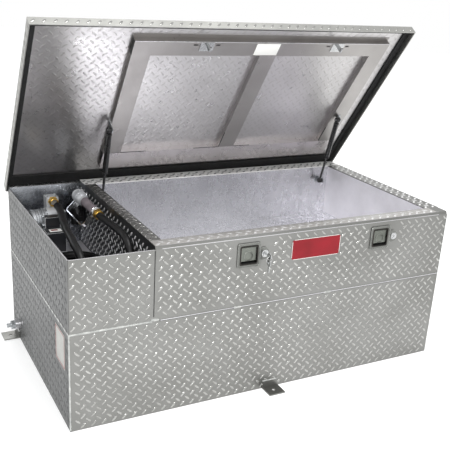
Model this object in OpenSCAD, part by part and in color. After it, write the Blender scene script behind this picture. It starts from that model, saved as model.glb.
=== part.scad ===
// Truck bed transfer tank: a diamond tread aluminium fuel tank with a lidded toolbox on top and an
// open compartment at the left for the transfer pump, its hose and its nozzle.
// Origin: centre of the tank's base. +X runs along the front to the right, +Y to the back, +Z up.
// The lid is drawn open, as it stands on its gas struts.

/* [Tank box] */
// Length of the tank, end to end
tank_l = 1524; // [1480:1:1620]
// Depth of the tank, front to back
tank_d = 812.8; // [790:0.1:870]
// Height of the plain side walls
tank_h = 609.6; // [600:0.1:660]
// Thickness of the tread plate
sheet = 3.2; // [2.5:0.1:4]
// Height of the fuel tank's deck, where the front seam runs
deck_z = 355.6; // [330:0.1:370]

/* [Pump compartment] */
// Width of the open pump compartment, outside of the left end to the partition
comp_w = 287; // [270:1:320]

/* [Toolbox] */
// How far the toolbox rim stands above the plain walls
rim_rise = 10.4; // [6:0.1:14]
// How far the rim's front edge leans back
rim_lean = 5; // [3:0.1:8]
// Width of the rim at the front
front_rim_w = 58; // [52:1:66]
// Width of the rim at the back
back_rim_w = 75.8; // [70:0.1:90]
// Width of the rim at the right end
right_rim_w = 66; // [56:1:80]
// Width of the partition's cap
cap_w = 43; // [38:1:60]
// Thickness of the toolbox tub's sheet
tub_t = 2.5; // [1.5:0.1:3]
// Height of the toolbox floor's top face
tub_z = 397; // [385:1:430]
// Length of the notch at the right front corner
corner_run = 47; // [40:1:50]
// Depth of the notch at the right front corner
corner_drop = 10.8; // [6:0.1:16]

/* [Lid] */
// How far the lid stands out past the front and both ends
lid_over = 8; // [6.5:0.1:12]
// Thickness of the lid's sheet
lid_t = 3.2; // [2:0.1:4]
// Height of the lid's turned down flanges, over all
lid_flange = 34; // [28:0.1:38]
// Room between the rim and the lid's sheet, where the gasket sits
lid_room = 7; // [5:0.1:9]
// Angle that the lid opens to on its struts
lid_open = 54.5; // [45:0.5:62]
// Drop of the lid's stiffening rails
rail_h = 22; // [16:1:24]
// Width of the front rail
front_rail_w = 64; // [50:1:80]
// Width of the rear rail
rear_rail_w = 90; // [70:1:110]
// Width of each cross rail
cross_rail_w = 70; // [55:1:85]
// Thickness of the rails' sheet
rail_t = 2; // [1.5:0.1:3]
// Height of the gasket strip
gasket_h = 6.6; // [4:0.1:6.7]
// Width of the gasket strip
gasket_w = 22; // [14:1:30]

/* [Hinge] */
// Radius of the hinge's knuckles
knuckle_r = 4; // [3.5:0.1:5]
// Radius of the hinge pin
pin_r = 2.2; // [1.5:0.1:2.6]
// Length of one knuckle with its gap
knuckle_pitch = 30; // [24:1:40]
// Thickness of the hinge leaves
leaf_t = 1.5; // [1:0.1:2]
// Height of each hinge leaf
leaf_h = 26; // [20:1:28]

/* [Gas struts] */
// Radius of the strut's cylinder
strut_r = 11; // [8:0.1:11.5]
// Radius of the strut's rod
rod_r = 5; // [3:0.1:5.5]
// Length of the strut's cylinder
strut_l = 176; // [150:1:180]
// Length of the rod, from its socket to the piston
rod_l = 158; // [150:1:165]
// Distance of the upper strut pivot from the hinge line
strut_arm = 336; // [326:1:350]
// Drop of the upper strut pivot under the lid's sheet
strut_drop = 40; // [38:1:44]
// Distance of the lower strut pivot from the back of the tub
strut_foot_back = 32; // [28:1:38]
// Distance of the lower strut pivot under the rim's top
strut_foot_drop = 57; // [50:1:70]
// Distance of the right strut's plane from the right wall of the tub
strut_right_in = 61; // [40:1:68]
// Radius of the ball studs
stud_r = 4; // [3:0.1:4.5]

/* [Latches] */
// Side of the latch's square plate
latch_w = 90; // [80:1:100]
// Side of the latch's window
latch_window = 68; // [60:1:70]
// Depth of the latch's dish behind the front
latch_depth = 24; // [18:1:28]
// Drop of the latches' centre under the plain walls' top
latch_drop = 61.6; // [58:0.1:80]
// Centre between the two latches, from the tank's middle
latch_mid = 153; // [120:1:160]
// Distance of each latch from that centre
latch_off = 283; // [260:1:300]
// Distance of the lock from the latch's centre
lock_off = 63; // [60:1:70]
// Radius of the lock plug
lock_r = 9; // [7:0.1:10]
// How far the paddle swings
paddle_swing = 35; // [20:1:40]
// Thickness of the catch's claw
claw_t = 5; // [4:0.1:6]
// Radius of the striker's bar
bar_r = 4; // [3:0.1:4.5]

/* [Fittings] */
// Width of each mounting tab
tab_w = 66; // [50:1:80]
// How far the mounting tabs stand out
tab_out = 62; // [50:1:70]
// Thickness of the mounting tabs
tab_t = 4.8; // [3:0.1:6]
// Height of the mounting tabs' upright legs
tab_h = 30; // [20:1:40]
// Radius of the mounting tabs' bolt holes
tab_hole_r = 6.8; // [5:0.1:9]
// Height of the drain above the floor
drain_z = 66; // [55:1:80]
// Distance of the drain from the back
drain_back = 100; // [80:1:130]
// Radius of the drain's bung
drain_r = 22; // [18:1:26]
// Width of the badge plate on the front
badge_w = 205; // [150:1:220]
// Height of the badge plate
badge_h = 74; // [50:1:80]
// Thickness of the badge plate
badge_t = 1.6; // [1:0.1:3]

/* [Pump] */
// Distance of the pump's inlet from the left end
pump_x = 132; // [128:1:140]
// Distance of the pump's inlet from the back
pump_back = 172.8; // [164:0.1:180]
// Height of the pump's shaft
pump_z = 520; // [515:1:522]
// Radius of the rotor housing
housing_r = 50; // [44:1:50]
// Width of the rotor housing
housing_w = 62; // [50:1:66]
// Radius of the motor shell
motor_r = 46; // [40:1:46]
// Length of the motor shell
motor_l = 66; // [50:1:66]
// Radius of the pump's inlet neck
inlet_r = 28; // [24:1:32]
// Radius of the bung that the pump screws into
bung_r = 44; // [40:1:50]
// Radius of the suction tube
suction_r = 15; // [12:1:18]
// Height of the outlet above the deck's front seam
outlet_up = 232; // [230:1:236]

/* [Nozzle and hose] */
// Outer diameter of the hose
hose_d = 27; // [24:1:28]
// Radius of the nozzle's grip
grip_r = 16; // [14:1:18]
// Length of the nozzle's grip
grip_l = 170; // [110:1:180]
// Radius of the nozzle's head
head_r = 25; // [22:1:26]
// Length of the nozzle's head
head_l = 88; // [70:1:92]
// Radius of the nozzle's spout
spout_r = 10; // [8:0.5:12]
// Distance of the spout's holder from the back
holder_back = 45.8; // [40:0.1:60]
// How far the nozzle's lever guard stands off
guard_off = 74; // [64:1:78]
// Distance of the nozzle's axis from the partition
nozzle_in = 37; // [33:1:42]
// Drop of the nozzle's axis under the plain walls' top
nozzle_drop = 24; // [22:1:28]

/* [Filler] */
// Radius of the filler neck
filler_r = 30; // [24:1:36]
// Height of the filler neck above the deck
filler_h = 34; // [25:1:50]

/* [Hidden] */
$fn = 48;

// Clearances: a running fit on a pin, faces that pass each other, and a small cut overlap
run_fit = 0.05;
face_gap = 0.3;
cut = 1;

// Outer faces of the tank
x0 = -tank_l / 2;
x1 = tank_l / 2;
y0 = -tank_d / 2;
y1 = tank_d / 2;
rim_z = tank_h + rim_rise;
rim_under = rim_z - sheet;
part_x = x0 + comp_w;

// Inner faces of the toolbox tub
tub_x0 = part_x + cap_w;
tub_x1 = x1 - right_rim_w;
tub_y0 = y0 + front_rim_w;
tub_y1 = y1 - back_rim_w;

// The hinge line and the closed lid's faces
hinge_y = y1 + knuckle_r;
lid_under = rim_z + lid_room;
lid_top = lid_under + lid_t;
flange_z = lid_top - lid_flange;
hinge_z = flange_z - knuckle_r - 1;
lid_back = y1 + 2 * leaf_t + 2 + lid_t;
lid_front = y0 - lid_over;

aluminium = [0.74, 0.74, 0.72];
satin = [0.66, 0.67, 0.67];
dark = [0.1, 0.1, 0.1];
steel = [0.62, 0.62, 0.64];
casting = [0.72, 0.73, 0.75];
brass = [0.8, 0.62, 0.25];
red = [0.6, 0.06, 0.1];

// A profile in the Y and Z plane, drawn out along X from a to b
module along_x(a, b) {
    translate([a, 0, 0]) rotate([90, 0, 90]) linear_extrude(height = b - a) children();
}

// A profile in the X and Z plane, drawn out along Y from a to b
module along_y(a, b) {
    translate([0, b, 0]) rotate([90, 0, 0]) linear_extrude(height = b - a) children();
}

// A round bar along X, centred at p
module bar_x(p, r, l) {
    translate(p) rotate([0, 90, 0]) cylinder(h = l, r = r, center = true);
}

// A round bar along Y, from p towards the back
module bar_y(p, r, l) {
    translate(p) rotate([-90, 0, 0]) cylinder(h = l, r = r);
}

// A flat rectangle with round corners
module round_rect(w, h, r) {
    union() {
        square([w - 2 * r, h], center = true);
        square([w, h - 2 * r], center = true);
        for (sx = [-1, 1], sy = [-1, 1])
            translate([sx * (w / 2 - r), sy * (h / 2 - r)]) circle(r = r);
    }
}

// Moves what is drawn on the closed lid to where the open lid holds it
module on_lid() {
    translate([0, hinge_y, hinge_z]) rotate([-lid_open, 0, 0])
        translate([0, -hinge_y, -hinge_z]) children();
}

// Fuel tank and walls

module tank_floor() {
    color(aluminium) translate([x0 + sheet, y0 + sheet, 0])
        cube([tank_l - 2 * sheet, tank_d - 2 * sheet, sheet]);
}

drain_y = y1 - drain_back;

module left_end_plate() {
    color(aluminium) difference() {
        translate([x0, y0, 0]) cube([sheet, tank_d, tank_h]);
        bar_x([x0, drain_y, drain_z], drain_r - 4, 4 * sheet);
    }
}

module right_end_plate() {
    color(aluminium) along_x(x1 - sheet, x1)
        polygon([[y0, 0], [y1, 0], [y1, rim_under], [y0 + corner_run, rim_under],
            [y0, rim_under - corner_drop]]);
}

module tank_front_plate() {
    color(aluminium) translate([x0 + sheet, y0, 0]) cube([tank_l - 2 * sheet, sheet, deck_z]);
}

module back_plate() {
    color(aluminium) along_y(y1 - sheet, y1)
        polygon([[x0 + sheet, 0], [x1 - sheet, 0], [x1 - sheet, rim_under], [part_x, rim_under],
            [part_x, tank_h], [x0 + sheet, tank_h]]);
}

// Where the pump and the filler stand on the deck
pump_at = [x0 + pump_x, y1 - pump_back];
filler_at = [x0 + 165, y0 + 92];

module tank_deck() {
    color(satin) difference() {
        translate([x0 + sheet, y0 + sheet, deck_z - sheet])
            cube([tank_l - 2 * sheet, tank_d - 2 * sheet, sheet]);
        translate([pump_at.x, pump_at.y, deck_z - 2 * sheet]) cylinder(h = 4 * sheet, r = inlet_r);
        translate([filler_at.x, filler_at.y, deck_z - 2 * sheet])
            cylinder(h = 4 * sheet, r = filler_r - 3);
    }
}

// Two slosh baffles across the tank, each with three flow holes
module tank_baffles() {
    color(satin) for (x = [x0 + tank_l / 3, x0 + 2 * tank_l / 3])
        difference() {
            translate([x, y0 + sheet, sheet]) cube([sheet, tank_d - 2 * sheet, deck_z - 2 * sheet]);
            for (y = [-tank_d / 4, 0, tank_d / 4])
                bar_x([x, y, deck_z / 2], 55, 4 * sheet);
        }
}

module compartment_front_plate() {
    color(aluminium) translate([x0 + sheet, y0, deck_z])
        cube([comp_w - sheet, sheet, tank_h - deck_z]);
}

// One folded sheet: upright front, a lip that leans back, and the rim's front flange
module toolbox_front() {
    lean = sheet * 0.6;
    color(aluminium) difference() {
        along_x(part_x, x1 - sheet)
            polygon([[y0, deck_z], [y0, tank_h], [y0 + rim_lean, rim_z], [tub_y0, rim_z],
                [tub_y0, rim_under], [y0 + rim_lean + lean, rim_under],
                [y0 + sheet, tank_h - lean], [y0 + sheet, deck_z]]);
        for (x = [latch_mid - latch_off, latch_mid + latch_off]) {
            translate([x, y0 + sheet / 2, latch_z])
                cube([latch_window + 2, 2 * sheet, latch_window + 2], center = true);
            bar_y([x + lock_off, y0 - cut, latch_z], lock_r + 1, sheet + 2 * cut);
        }
    }
}

// The partition's upright sheet with its folded cap, seated under the rim at both ends
module partition() {
    color(aluminium) union() {
        along_y(tub_y0, tub_y1)
            polygon([[part_x, deck_z], [part_x + sheet, deck_z], [part_x + sheet, rim_under],
                [tub_x0, rim_under], [tub_x0, rim_z], [part_x, rim_z]]);
        translate([part_x, y0 + rim_lean + 2 * sheet, deck_z])
            cube([sheet, front_rim_w - rim_lean - 2 * sheet + cut, rim_under - deck_z]);
        translate([part_x, tub_y1 - cut, deck_z])
            cube([sheet, back_rim_w - sheet + cut, rim_under - deck_z]);
    }
}

// The tub's front wall, floor and back wall are one folded sheet
module tub_pan() {
    color(satin) difference() {
        along_x(tub_x0, tub_x1)
            polygon([[tub_y0 - tub_t, rim_under], [tub_y0 - tub_t, tub_z - tub_t],
                [tub_y1 + tub_t, tub_z - tub_t], [tub_y1 + tub_t, rim_under], [tub_y1, rim_under],
                [tub_y1, tub_z], [tub_y0, tub_z], [tub_y0, rim_under]]);
        for (x = [latch_mid - latch_off, latch_mid + latch_off])
            translate([x, tub_y0, case_z]) cube([case_w + 1, 4 * tub_t, case_h + 1], center = true);
    }
}

module tub_end_walls() {
    color(satin) for (x = [tub_x0 - tub_t, tub_x1])
        translate([x, tub_y0 - tub_t, tub_z - tub_t])
            cube([tub_t, tub_y1 - tub_y0 + 2 * tub_t, rim_under - tub_z + tub_t]);
}

module rear_rim() {
    color(aluminium) translate([part_x, tub_y1, rim_under]) cube([x1 - part_x, back_rim_w, sheet]);
}

module right_rim() {
    color(aluminium) translate([tub_x1, tub_y0, rim_under])
        cube([right_rim_w, tub_y1 - tub_y0, sheet]);
}

// One bent tab: foot on the floor with a bolt hole, upright leg against the wall
module tab() {
    difference() {
        translate([-tab_w / 2, -tab_out, 0]) cube([tab_w, tab_out, tab_t]);
        translate([0, -tab_out / 2, -cut]) cylinder(h = tab_t + 2 * cut, r = tab_hole_r);
    }
    translate([-tab_w / 2, -tab_t, tab_t]) cube([tab_w, tab_t, tab_h - tab_t]);
}

module mounting_tabs() {
    color(aluminium) {
        translate([0, y0, 0]) tab();
        translate([x0, y1 - tab_w, 0]) rotate([0, 0, -90]) tab();
        translate([x1, y1 - tab_w, 0]) rotate([0, 0, 90]) tab();
    }
}

// The drain: a round bung welded to the end wall, and a hexagon plug in it
module drain_bung() {
    color(satin) difference() {
        bar_x([x0 - 10, drain_y, drain_z], drain_r, 20);
        bar_x([x0 - 10, drain_y, drain_z], drain_r - 8, 24);
    }
}

module drain_plug() {
    color(steel) union() {
        bar_x([x0 - 13, drain_y, drain_z], drain_r - 8 - run_fit, 26);
        translate([x0 - 20, drain_y, drain_z]) rotate([0, -90, 0]) cylinder(h = 14, r = 19, $fn = 6);
        bar_x([x0 - 42, drain_y, drain_z], 9, 16);
    }
}

module badge_plate() {
    color(red) translate([latch_mid - 5, y0, latch_z - 4]) rotate([90, 0, 0])
        linear_extrude(height = badge_t) round_rect(badge_w, badge_h, 8);
}

// Latches

latch_x = [latch_mid - latch_off, latch_mid + latch_off];
latch_z = tank_h - latch_drop;
case_w = 46;
case_h = 40;
bar_z = rim_under - 40;
case_z = bar_z - 12;
claw_y = tub_y0 + tub_t + 1.5;
bar_y0 = claw_y - 1.5;
claw_pivot = [17, -8];
paddle_top = latch_window / 2 - 8;

// The square plate with its lock lobe, and the dish that is pressed back from it
module latch_bezel(x) {
    difference() {
        union() {
            translate([x, y0, latch_z]) rotate([90, 0, 0]) linear_extrude(height = 3)
                difference() {
                    union() {
                        round_rect(latch_w, latch_w, 9);
                        translate([lock_off - 6, 0]) circle(r = 24);
                    }
                    round_rect(latch_window - 3, latch_window - 3, 5);
                    translate([lock_off, 0]) circle(r = lock_r + run_fit);
                }
            translate([x, y0 + latch_depth, latch_z]) rotate([90, 0, 0])
                linear_extrude(height = latch_depth) round_rect(latch_window, latch_window, 6);
        }
        translate([x, y0 + latch_depth - 1.5, latch_z]) rotate([90, 0, 0])
            linear_extrude(height = latch_depth + 3)
                round_rect(latch_window - 3, latch_window - 3, 5);
    }
    bar_x([x, y0 + 3, latch_z + paddle_top], 1.5, latch_window - 3);
}

module latch_bezels() {
    color(steel) for (x = latch_x) latch_bezel(x);
}

// The case behind each dish, out through the tub's front wall, with the claw's pin on its face
module latch_cases() {
    color(steel) for (x = latch_x) {
        translate([x - case_w / 2, y0 + latch_depth, case_z - case_h / 2])
            cube([case_w, tub_y0 + tub_t - y0 - latch_depth, case_h]);
        bar_y([x + claw_pivot[0], tub_y0 + tub_t, bar_z + claw_pivot[1]], 3, claw_t + 3);
    }
}

// The handle plate: a hinged edge at the top, a finger lip at the bottom
module paddle(x) {
    w = latch_window - 8;
    difference() {
        union() {
            bar_x([x, y0 + 3, latch_z + paddle_top], 3, w);
            translate([x - w / 2, y0 + 1.5, latch_z - latch_window / 2 + 12])
                cube([w, 3, latch_window / 2 + paddle_top - 12]);
            translate([x - w / 2, y0 + 1.5, latch_z - latch_window / 2 + 12]) cube([w, 9, 3]);
        }
        bar_x([x, y0 + 3, latch_z + paddle_top], 1.5 + run_fit, latch_window);
        translate([x, y0 - 4, latch_z - 4]) rotate([-90, 0, 0]) cylinder(h = 7, r = 17);
    }
}

module left_paddle() {
    color(steel) paddle(latch_x[0]);
}

module right_paddle() {
    color(steel) paddle(latch_x[1]);
}

// A hook that swings over the striker's bar; it is drawn open, clear of the bar
module claw(x) {
    open_turn = 60;
    color_gap = 0.6;
    translate([x + claw_pivot[0], claw_y, bar_z + claw_pivot[1]]) rotate([-90, 0, 0])
        rotate([0, 0, open_turn]) difference() {
            linear_extrude(height = claw_t) union() {
                circle(r = 8);
                translate([-claw_pivot[0], claw_pivot[1]]) difference() {
                    circle(r = bar_r + color_gap + 7);
                    circle(r = bar_r + color_gap);
                    translate([-15, 0]) square([30, 15]);
                }
                polygon([[4, -7], [7, 2], [-5, 4], [-6.2, -6.5], [-8, -9]]);
            }
            translate([0, 0, -cut]) cylinder(h = claw_t + 2 * cut, r = 3 + run_fit);
        }
}

module left_claw() {
    color(steel) claw(latch_x[0]);
}

module right_claw() {
    color(steel) claw(latch_x[1]);
}

// The lock's plug, with the slot for its key
module lock_plug(x) {
    difference() {
        bar_y([x + lock_off, y0 - 6, latch_z], lock_r, 24);
        translate([x + lock_off, y0 - 2, latch_z]) cube([2.5, 10, 9], center = true);
    }
}

module left_lock() {
    color(steel) lock_plug(latch_x[0]);
}

module right_lock() {
    color(steel) lock_plug(latch_x[1]);
}

key_x = latch_x[0] + lock_off;
key_hole = [key_x, y0 - 34, latch_z];
ring_r = 11;
ring_wire = 1;
key_eye = 3.5;

// A flat key, its bow at the origin with the blade towards +Y, flat in the Y and Z plane
module key() {
    difference() {
        rotate([0, 90, 0]) linear_extrude(height = 2.2, center = true)
            union() {
                circle(r = 12);
                translate([-4, 0]) square([8, 34]);
            }
        rotate([0, 90, 0]) cylinder(h = 10, r = key_eye, center = true);
    }
}

module left_key() {
    color(steel) translate(key_hole) key();
}

// The ring through the key's bow, with the second key hanging from it
module spare_key() {
    ring_z = key_hole.z - key_eye + ring_wire + face_gap - ring_r;
    hang_z = ring_z - ring_r - (key_eye - ring_wire - face_gap);
    color(steel) {
        translate([key_hole.x, key_hole.y, ring_z]) rotate([90, 0, 0])
            rotate_extrude() translate([ring_r, 0]) circle(r = ring_wire, $fn = 16);
        translate([key_hole.x, key_hole.y, hang_z]) rotate([-90, 0, 0]) key();
    }
}

// Piano hinge: knuckles alternate between the box leaf and the lid leaf along one pin

hinge_l = tank_l - 24;
knuckle_n = floor(hinge_l / knuckle_pitch);

// Every second knuckle, starting at 0 or at 1, bored for the pin
module knuckles(first) {
    start = -knuckle_n * knuckle_pitch / 2;
    difference() {
        union() for (i = [first:2:knuckle_n - 1])
            bar_x([start + (i + 0.5) * knuckle_pitch, hinge_y, hinge_z], knuckle_r,
                knuckle_pitch - 2 * face_gap);
        bar_x([0, hinge_y, hinge_z], pin_r + run_fit, tank_l);
    }
}

// The tongues that join one leaf to its own knuckles
module tongues(first, y, z, h) {
    start = -knuckle_n * knuckle_pitch / 2;
    for (i = [first:2:knuckle_n - 1])
        translate([start + i * knuckle_pitch + face_gap, y, z])
            cube([knuckle_pitch - 2 * face_gap, leaf_t, h]);
}

module hinge_box_leaf() {
    color(steel) union() {
        knuckles(0);
        translate([-hinge_l / 2, y1, hinge_z - knuckle_r - 1 - leaf_h]) cube([hinge_l, leaf_t, leaf_h]);
        tongues(0, y1, hinge_z - knuckle_r - 2, knuckle_r + 2);
    }
}

module hinge_pin() {
    color(steel) bar_x([0, hinge_y, hinge_z], pin_r, knuckle_n * knuckle_pitch + 4);
}

leaf_y = lid_back - lid_t - leaf_t;

module hinge_lid_leaf() {
    color(steel) on_lid() union() {
        knuckles(1);
        translate([-hinge_l / 2, leaf_y, hinge_z + knuckle_r + 1])
            cube([hinge_l, leaf_t, lid_under - hinge_z - knuckle_r - 2]);
        difference() {
            tongues(1, leaf_y, hinge_z, knuckle_r + 2);
            bar_x([0, hinge_y, hinge_z], pin_r + run_fit, tank_l);
        }
    }
}

// Lid

strut_x = [tub_x0 + 15.3, tub_x1 - strut_right_in];
socket_w = 8;
lid_x0 = x0 - lid_over;
lid_x1 = x1 + lid_over;

// One folded pan: top sheet with a flange turned down on each side
module lid_pan() {
    color(aluminium) on_lid() difference() {
        translate([lid_x0, lid_front, flange_z])
            cube([lid_x1 - lid_x0, lid_back - lid_front, lid_flange]);
        translate([lid_x0 + lid_t, lid_front + lid_t, flange_z - lid_t])
            cube([lid_x1 - lid_x0 - 2 * lid_t, lid_back - lid_front - 2 * lid_t, lid_flange]);
    }
}

rail_x0 = strut_x[0] + socket_w + 4;
rail_x1 = tub_x1 - 10;
front_rail_y = tub_y0 + 4;
rear_rail_y = tub_y1 - 10;

// A channel with its web down, w wide and l long, its open side at z = 0
module channel(w, l) {
    difference() {
        translate([0, 0, -rail_h]) cube([l, w, rail_h]);
        translate([-cut, rail_t, -rail_h + rail_t]) cube([l + 2 * cut, w - 2 * rail_t, rail_h]);
    }
}

module lid_front_rail() {
    color(satin) on_lid() difference() {
        union() {
            translate([rail_x0, front_rail_y, lid_under]) channel(front_rail_w, rail_x1 - rail_x0);
            translate([rail_x0, tub_y0 - 12, lid_under - rail_t])
                cube([rail_x1 - rail_x0, front_rail_y - tub_y0 + 12, rail_t]);
        }
        for (x = latch_x, dx = [-44, 44])
            translate([x + dx, front_rail_y + 14, lid_under - rail_h])
                cube([16, 6, 4 * rail_t], center = true);
    }
}

module lid_rear_rail() {
    color(satin) on_lid() translate([rail_x0, rear_rail_y - rear_rail_w, lid_under])
        channel(rear_rail_w, rail_x1 - rail_x0);
}

// The cross rails: left end, middle and right end
module lid_cross_rails() {
    l = rear_rail_y - rear_rail_w - front_rail_y - front_rail_w;
    mid = (rail_x0 + rail_x1) / 2;
    color(satin) on_lid() for (x = [rail_x0 + cross_rail_w, mid + cross_rail_w / 2, rail_x1])
        translate([x, front_rail_y + front_rail_w, lid_under]) rotate([0, 0, 90])
            channel(cross_rail_w, l);
}

// A strip round the lid's underside that lands on the rim and on the plain walls' line
module lid_gasket() {
    gx = lid_x0 + lid_t + 2;
    gy0 = lid_front + lid_t + 2;
    gy1 = leaf_y - 2;
    color(dark) on_lid() difference() {
        translate([gx, gy0, lid_under - gasket_h]) cube([-2 * gx, gy1 - gy0, gasket_h]);
        translate([gx + gasket_w, gy0 + gasket_w, lid_under - 2 * gasket_h])
            cube([-2 * gx - 2 * gasket_w, gy1 - gy0 - 2 * gasket_w - 30, 3 * gasket_h]);
    }
}

// Each striker: a plate under the front rail, with a bar held out between two legs
module strikers() {
    web_z = lid_under - rail_h;
    color(steel) on_lid() for (x = latch_x) {
        translate([x - 27, front_rail_y, web_z - 2.5]) cube([54, 40, 2.5]);
        translate([x - bar_r, front_rail_y + 7, bar_z]) cube([2 * bar_r, 2, web_z - 2.5 - bar_z]);
        translate([x - bar_r, front_rail_y + 16, bar_z]) cube([2 * bar_r, 2, web_z - 2.5 - bar_z]);
        bar_y([x, front_rail_y, bar_z], bar_r, 18);
    }
}

// Gas struts: the pivots in the Y and Z plane, with the lid closed and open

foot = [tub_y1 - strut_foot_back, rim_z - strut_foot_drop];
head_shut = [hinge_y - strut_arm, lid_under - strut_drop];
head_rel = head_shut - [hinge_y, hinge_z];
head_open = [hinge_y + head_rel.x * cos(lid_open) + head_rel.y * sin(lid_open),
    hinge_z - head_rel.x * sin(lid_open) + head_rel.y * cos(lid_open)];
strut_len = norm(foot - head_open);
strut_tilt = atan2(foot.y - head_open.y, foot.x - head_open.x);
foot_arm = 13.8;

// Along the strut: +X runs from the upper pivot to the lower one
module on_strut(x) {
    translate([x, head_open.x, head_open.y]) rotate([strut_tilt, 0, 0]) rotate([0, 0, 90]) children();
}

// The cylinder with its bored end socket, hollow, and closed round the rod at the far end
module strut_cylinder(x) {
    color(dark) on_strut(x) difference() {
        union() {
            rotate([90, 0, 0]) cylinder(h = 2 * socket_w, r = 9, center = true);
            rotate([0, 90, 0]) cylinder(h = 16, r = 6);
            translate([14, 0, 0]) rotate([0, 90, 0]) cylinder(h = strut_l, r = strut_r);
        }
        rotate([90, 0, 0]) cylinder(h = 40, r = stud_r + run_fit, center = true);
        translate([20, 0, 0]) rotate([0, 90, 0]) cylinder(h = strut_l - 16, r = strut_r - 2);
        translate([20, 0, 0]) rotate([0, 90, 0]) cylinder(h = strut_l, r = rod_r + run_fit);
    }
}

// The rod with its piston, and the socket that stands beside the lower stud
module strut_rod(x) {
    color(steel) on_strut(x) union() {
        translate([strut_len - 8 - rod_l, 0, 0]) rotate([0, 90, 0])
            cylinder(h = rod_l + 4, r = rod_r);
        translate([strut_len - 8 - rod_l, 0, 0]) rotate([0, 90, 0])
            cylinder(h = 8, r = strut_r - 2 - run_fit);
        translate([strut_len, 0, 0]) rotate([90, 0, 0]) cylinder(h = 2 * socket_w, r = 8, center = true);
    }
}

module strut_left_cylinder() {
    strut_cylinder(strut_x[0]);
}

module strut_right_cylinder() {
    strut_cylinder(strut_x[1]);
}

module strut_left_rod() {
    strut_rod(strut_x[0]);
}

module strut_right_rod() {
    strut_rod(strut_x[1]);
}

// Lid brackets: an ear beside each upper socket, with the stud through the socket
module strut_lid_brackets() {
    tops = [lid_under, lid_under - rail_h];
    color(steel) on_lid() for (i = [0, 1]) {
        translate([strut_x[i] + socket_w + 1, head_shut.x - 9, head_shut.y - 9])
            cube([3, 18, tops[i] - head_shut.y + 9]);
        if (i == 1)
            translate([strut_x[i] + socket_w + 1, head_shut.x - 12, tops[i] - 2]) cube([13, 24, 2]);
        bar_x([strut_x[i] + 0.5, head_shut.x, head_shut.y], stud_r, 2 * socket_w + 4);
    }
}

// Box brackets: a plate on the tub's back wall, an arm and a stud beside each lower socket
module strut_box_brackets() {
    color(steel) for (i = [0, 1]) {
        side = i == 0 ? -1 : 1;
        arm = strut_x[i] + side * foot_arm;
        stud = foot_arm - 1.5 - socket_w - face_gap;
        translate([arm - 1.5, foot.x - 9, foot.y - 9]) cube([3, tub_y1 - foot.x + 9, 18]);
        translate([arm + (side < 0 ? 1.5 : -19.5), tub_y1 - 2, foot.y - 14]) cube([18, 2, 28]);
        bar_x([arm - side * (1.5 + stud / 2), foot.x, foot.y], stud_r, stud);
    }
}

// Pump

outlet_x = pump_at.x + 3;
outlet_z = deck_z + outlet_up;
outlet_y = pump_at.y + 36;
fitting_l = 24;

module pump_bung() {
    color(satin) translate([pump_at.x, pump_at.y, deck_z]) difference() {
        cylinder(h = 18, r = bung_r);
        translate([0, 0, -cut]) cylinder(h = 20 + cut, r = inlet_r);
    }
}

// Rotor housing on its inlet neck, with the flange, the switch box and the outlet tower
module pump_body() {
    shaft = [pump_at.x - housing_w / 2, pump_at.y, pump_z];
    box_d = housing_r + 34 - motor_r - 2 * face_gap;
    color(casting) difference() {
        pump_casting(shaft, box_d);
        bar_x([lever_at.x, lever_at.y, lever_at.z], 4 + run_fit, 24);
    }
}

module pump_casting(shaft, box_d) {
    union() {
        translate([pump_at.x, pump_at.y, deck_z + 18]) cylinder(h = 14, r = bung_r + 8, $fn = 8);
        translate([pump_at.x, pump_at.y, deck_z + 30])
            cylinder(h = pump_z - housing_r / 2 - deck_z - 30, r = inlet_r);
        bar_x([pump_at.x, pump_at.y, pump_z], housing_r, housing_w);
        for (a = [0:60:300])
            bar_x([pump_at.x, pump_at.y + (housing_r - 7) * cos(a), pump_z + (housing_r - 7) * sin(a)],
                6, housing_w + 6);
        translate([outlet_x - 23, outlet_y - 10, pump_z]) cube([46, 44, outlet_z + 14 - pump_z]);
        bar_y([outlet_x, outlet_y - 14, outlet_z], 19, 20);
        translate([shaft.x - 24, pump_at.y - housing_r - 34, pump_z - 24])
            cube([56, box_d, 62]);
        translate([shaft.x - 34, pump_at.y - housing_r - 100, pump_z - 76]) cube([70, 66, 76]);
    }
}

// Motor shell with a domed end and cooling ribs
module pump_motor() {
    face = pump_at.x - housing_w / 2 - 3;
    color(casting) translate([face, pump_at.y, pump_z]) rotate([0, -90, 0]) rotate_extrude()
        polygon(concat([[0, 0], [motor_r, 0]],
            [for (i = [0:4]) each [[motor_r, 6 + 8 * i], [motor_r - 3, 8 + 8 * i],
                [motor_r - 3, 10 + 8 * i], [motor_r, 12 + 8 * i]]],
            [for (a = [0:10:90]) [motor_r * cos(a), motor_l - 18 + 18 * sin(a)]]));
}

module pump_fitting() {
    color(brass) union() {
        translate([outlet_x, outlet_y - 14, outlet_z]) rotate([90, 0, 0])
            cylinder(h = fitting_l - 10, r = 17, $fn = 6);
        bar_y([outlet_x, outlet_y - 14 - fitting_l, outlet_z], hose_d / 2 + 1, 12);
    }
}

module suction_tube() {
    color(steel) translate([pump_at.x, pump_at.y, 26]) difference() {
        cylinder(h = deck_z + 18 - 26, r = suction_r);
        translate([0, 0, -cut]) cylinder(h = deck_z, r = suction_r - 2);
    }
}

lever_at = [pump_at.x - housing_w / 2 - 24, pump_at.y - housing_r - 20, pump_z + 6];

// The pump's switch lever on the left of its switch box
module pump_lever() {
    color(steel) translate([lever_at.x - face_gap, lever_at.y, lever_at.z]) rotate([0, -90, 0])
    union() {
        translate([0, 0, -11]) cylinder(h = 12, r = 4);
        cylinder(h = 8, r = 8);
        translate([0, -4, 3]) cube([34, 8, 4]);
        translate([34, 0, 1]) cylinder(h = 8, r = 6);
    }
}

// Filler

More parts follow.
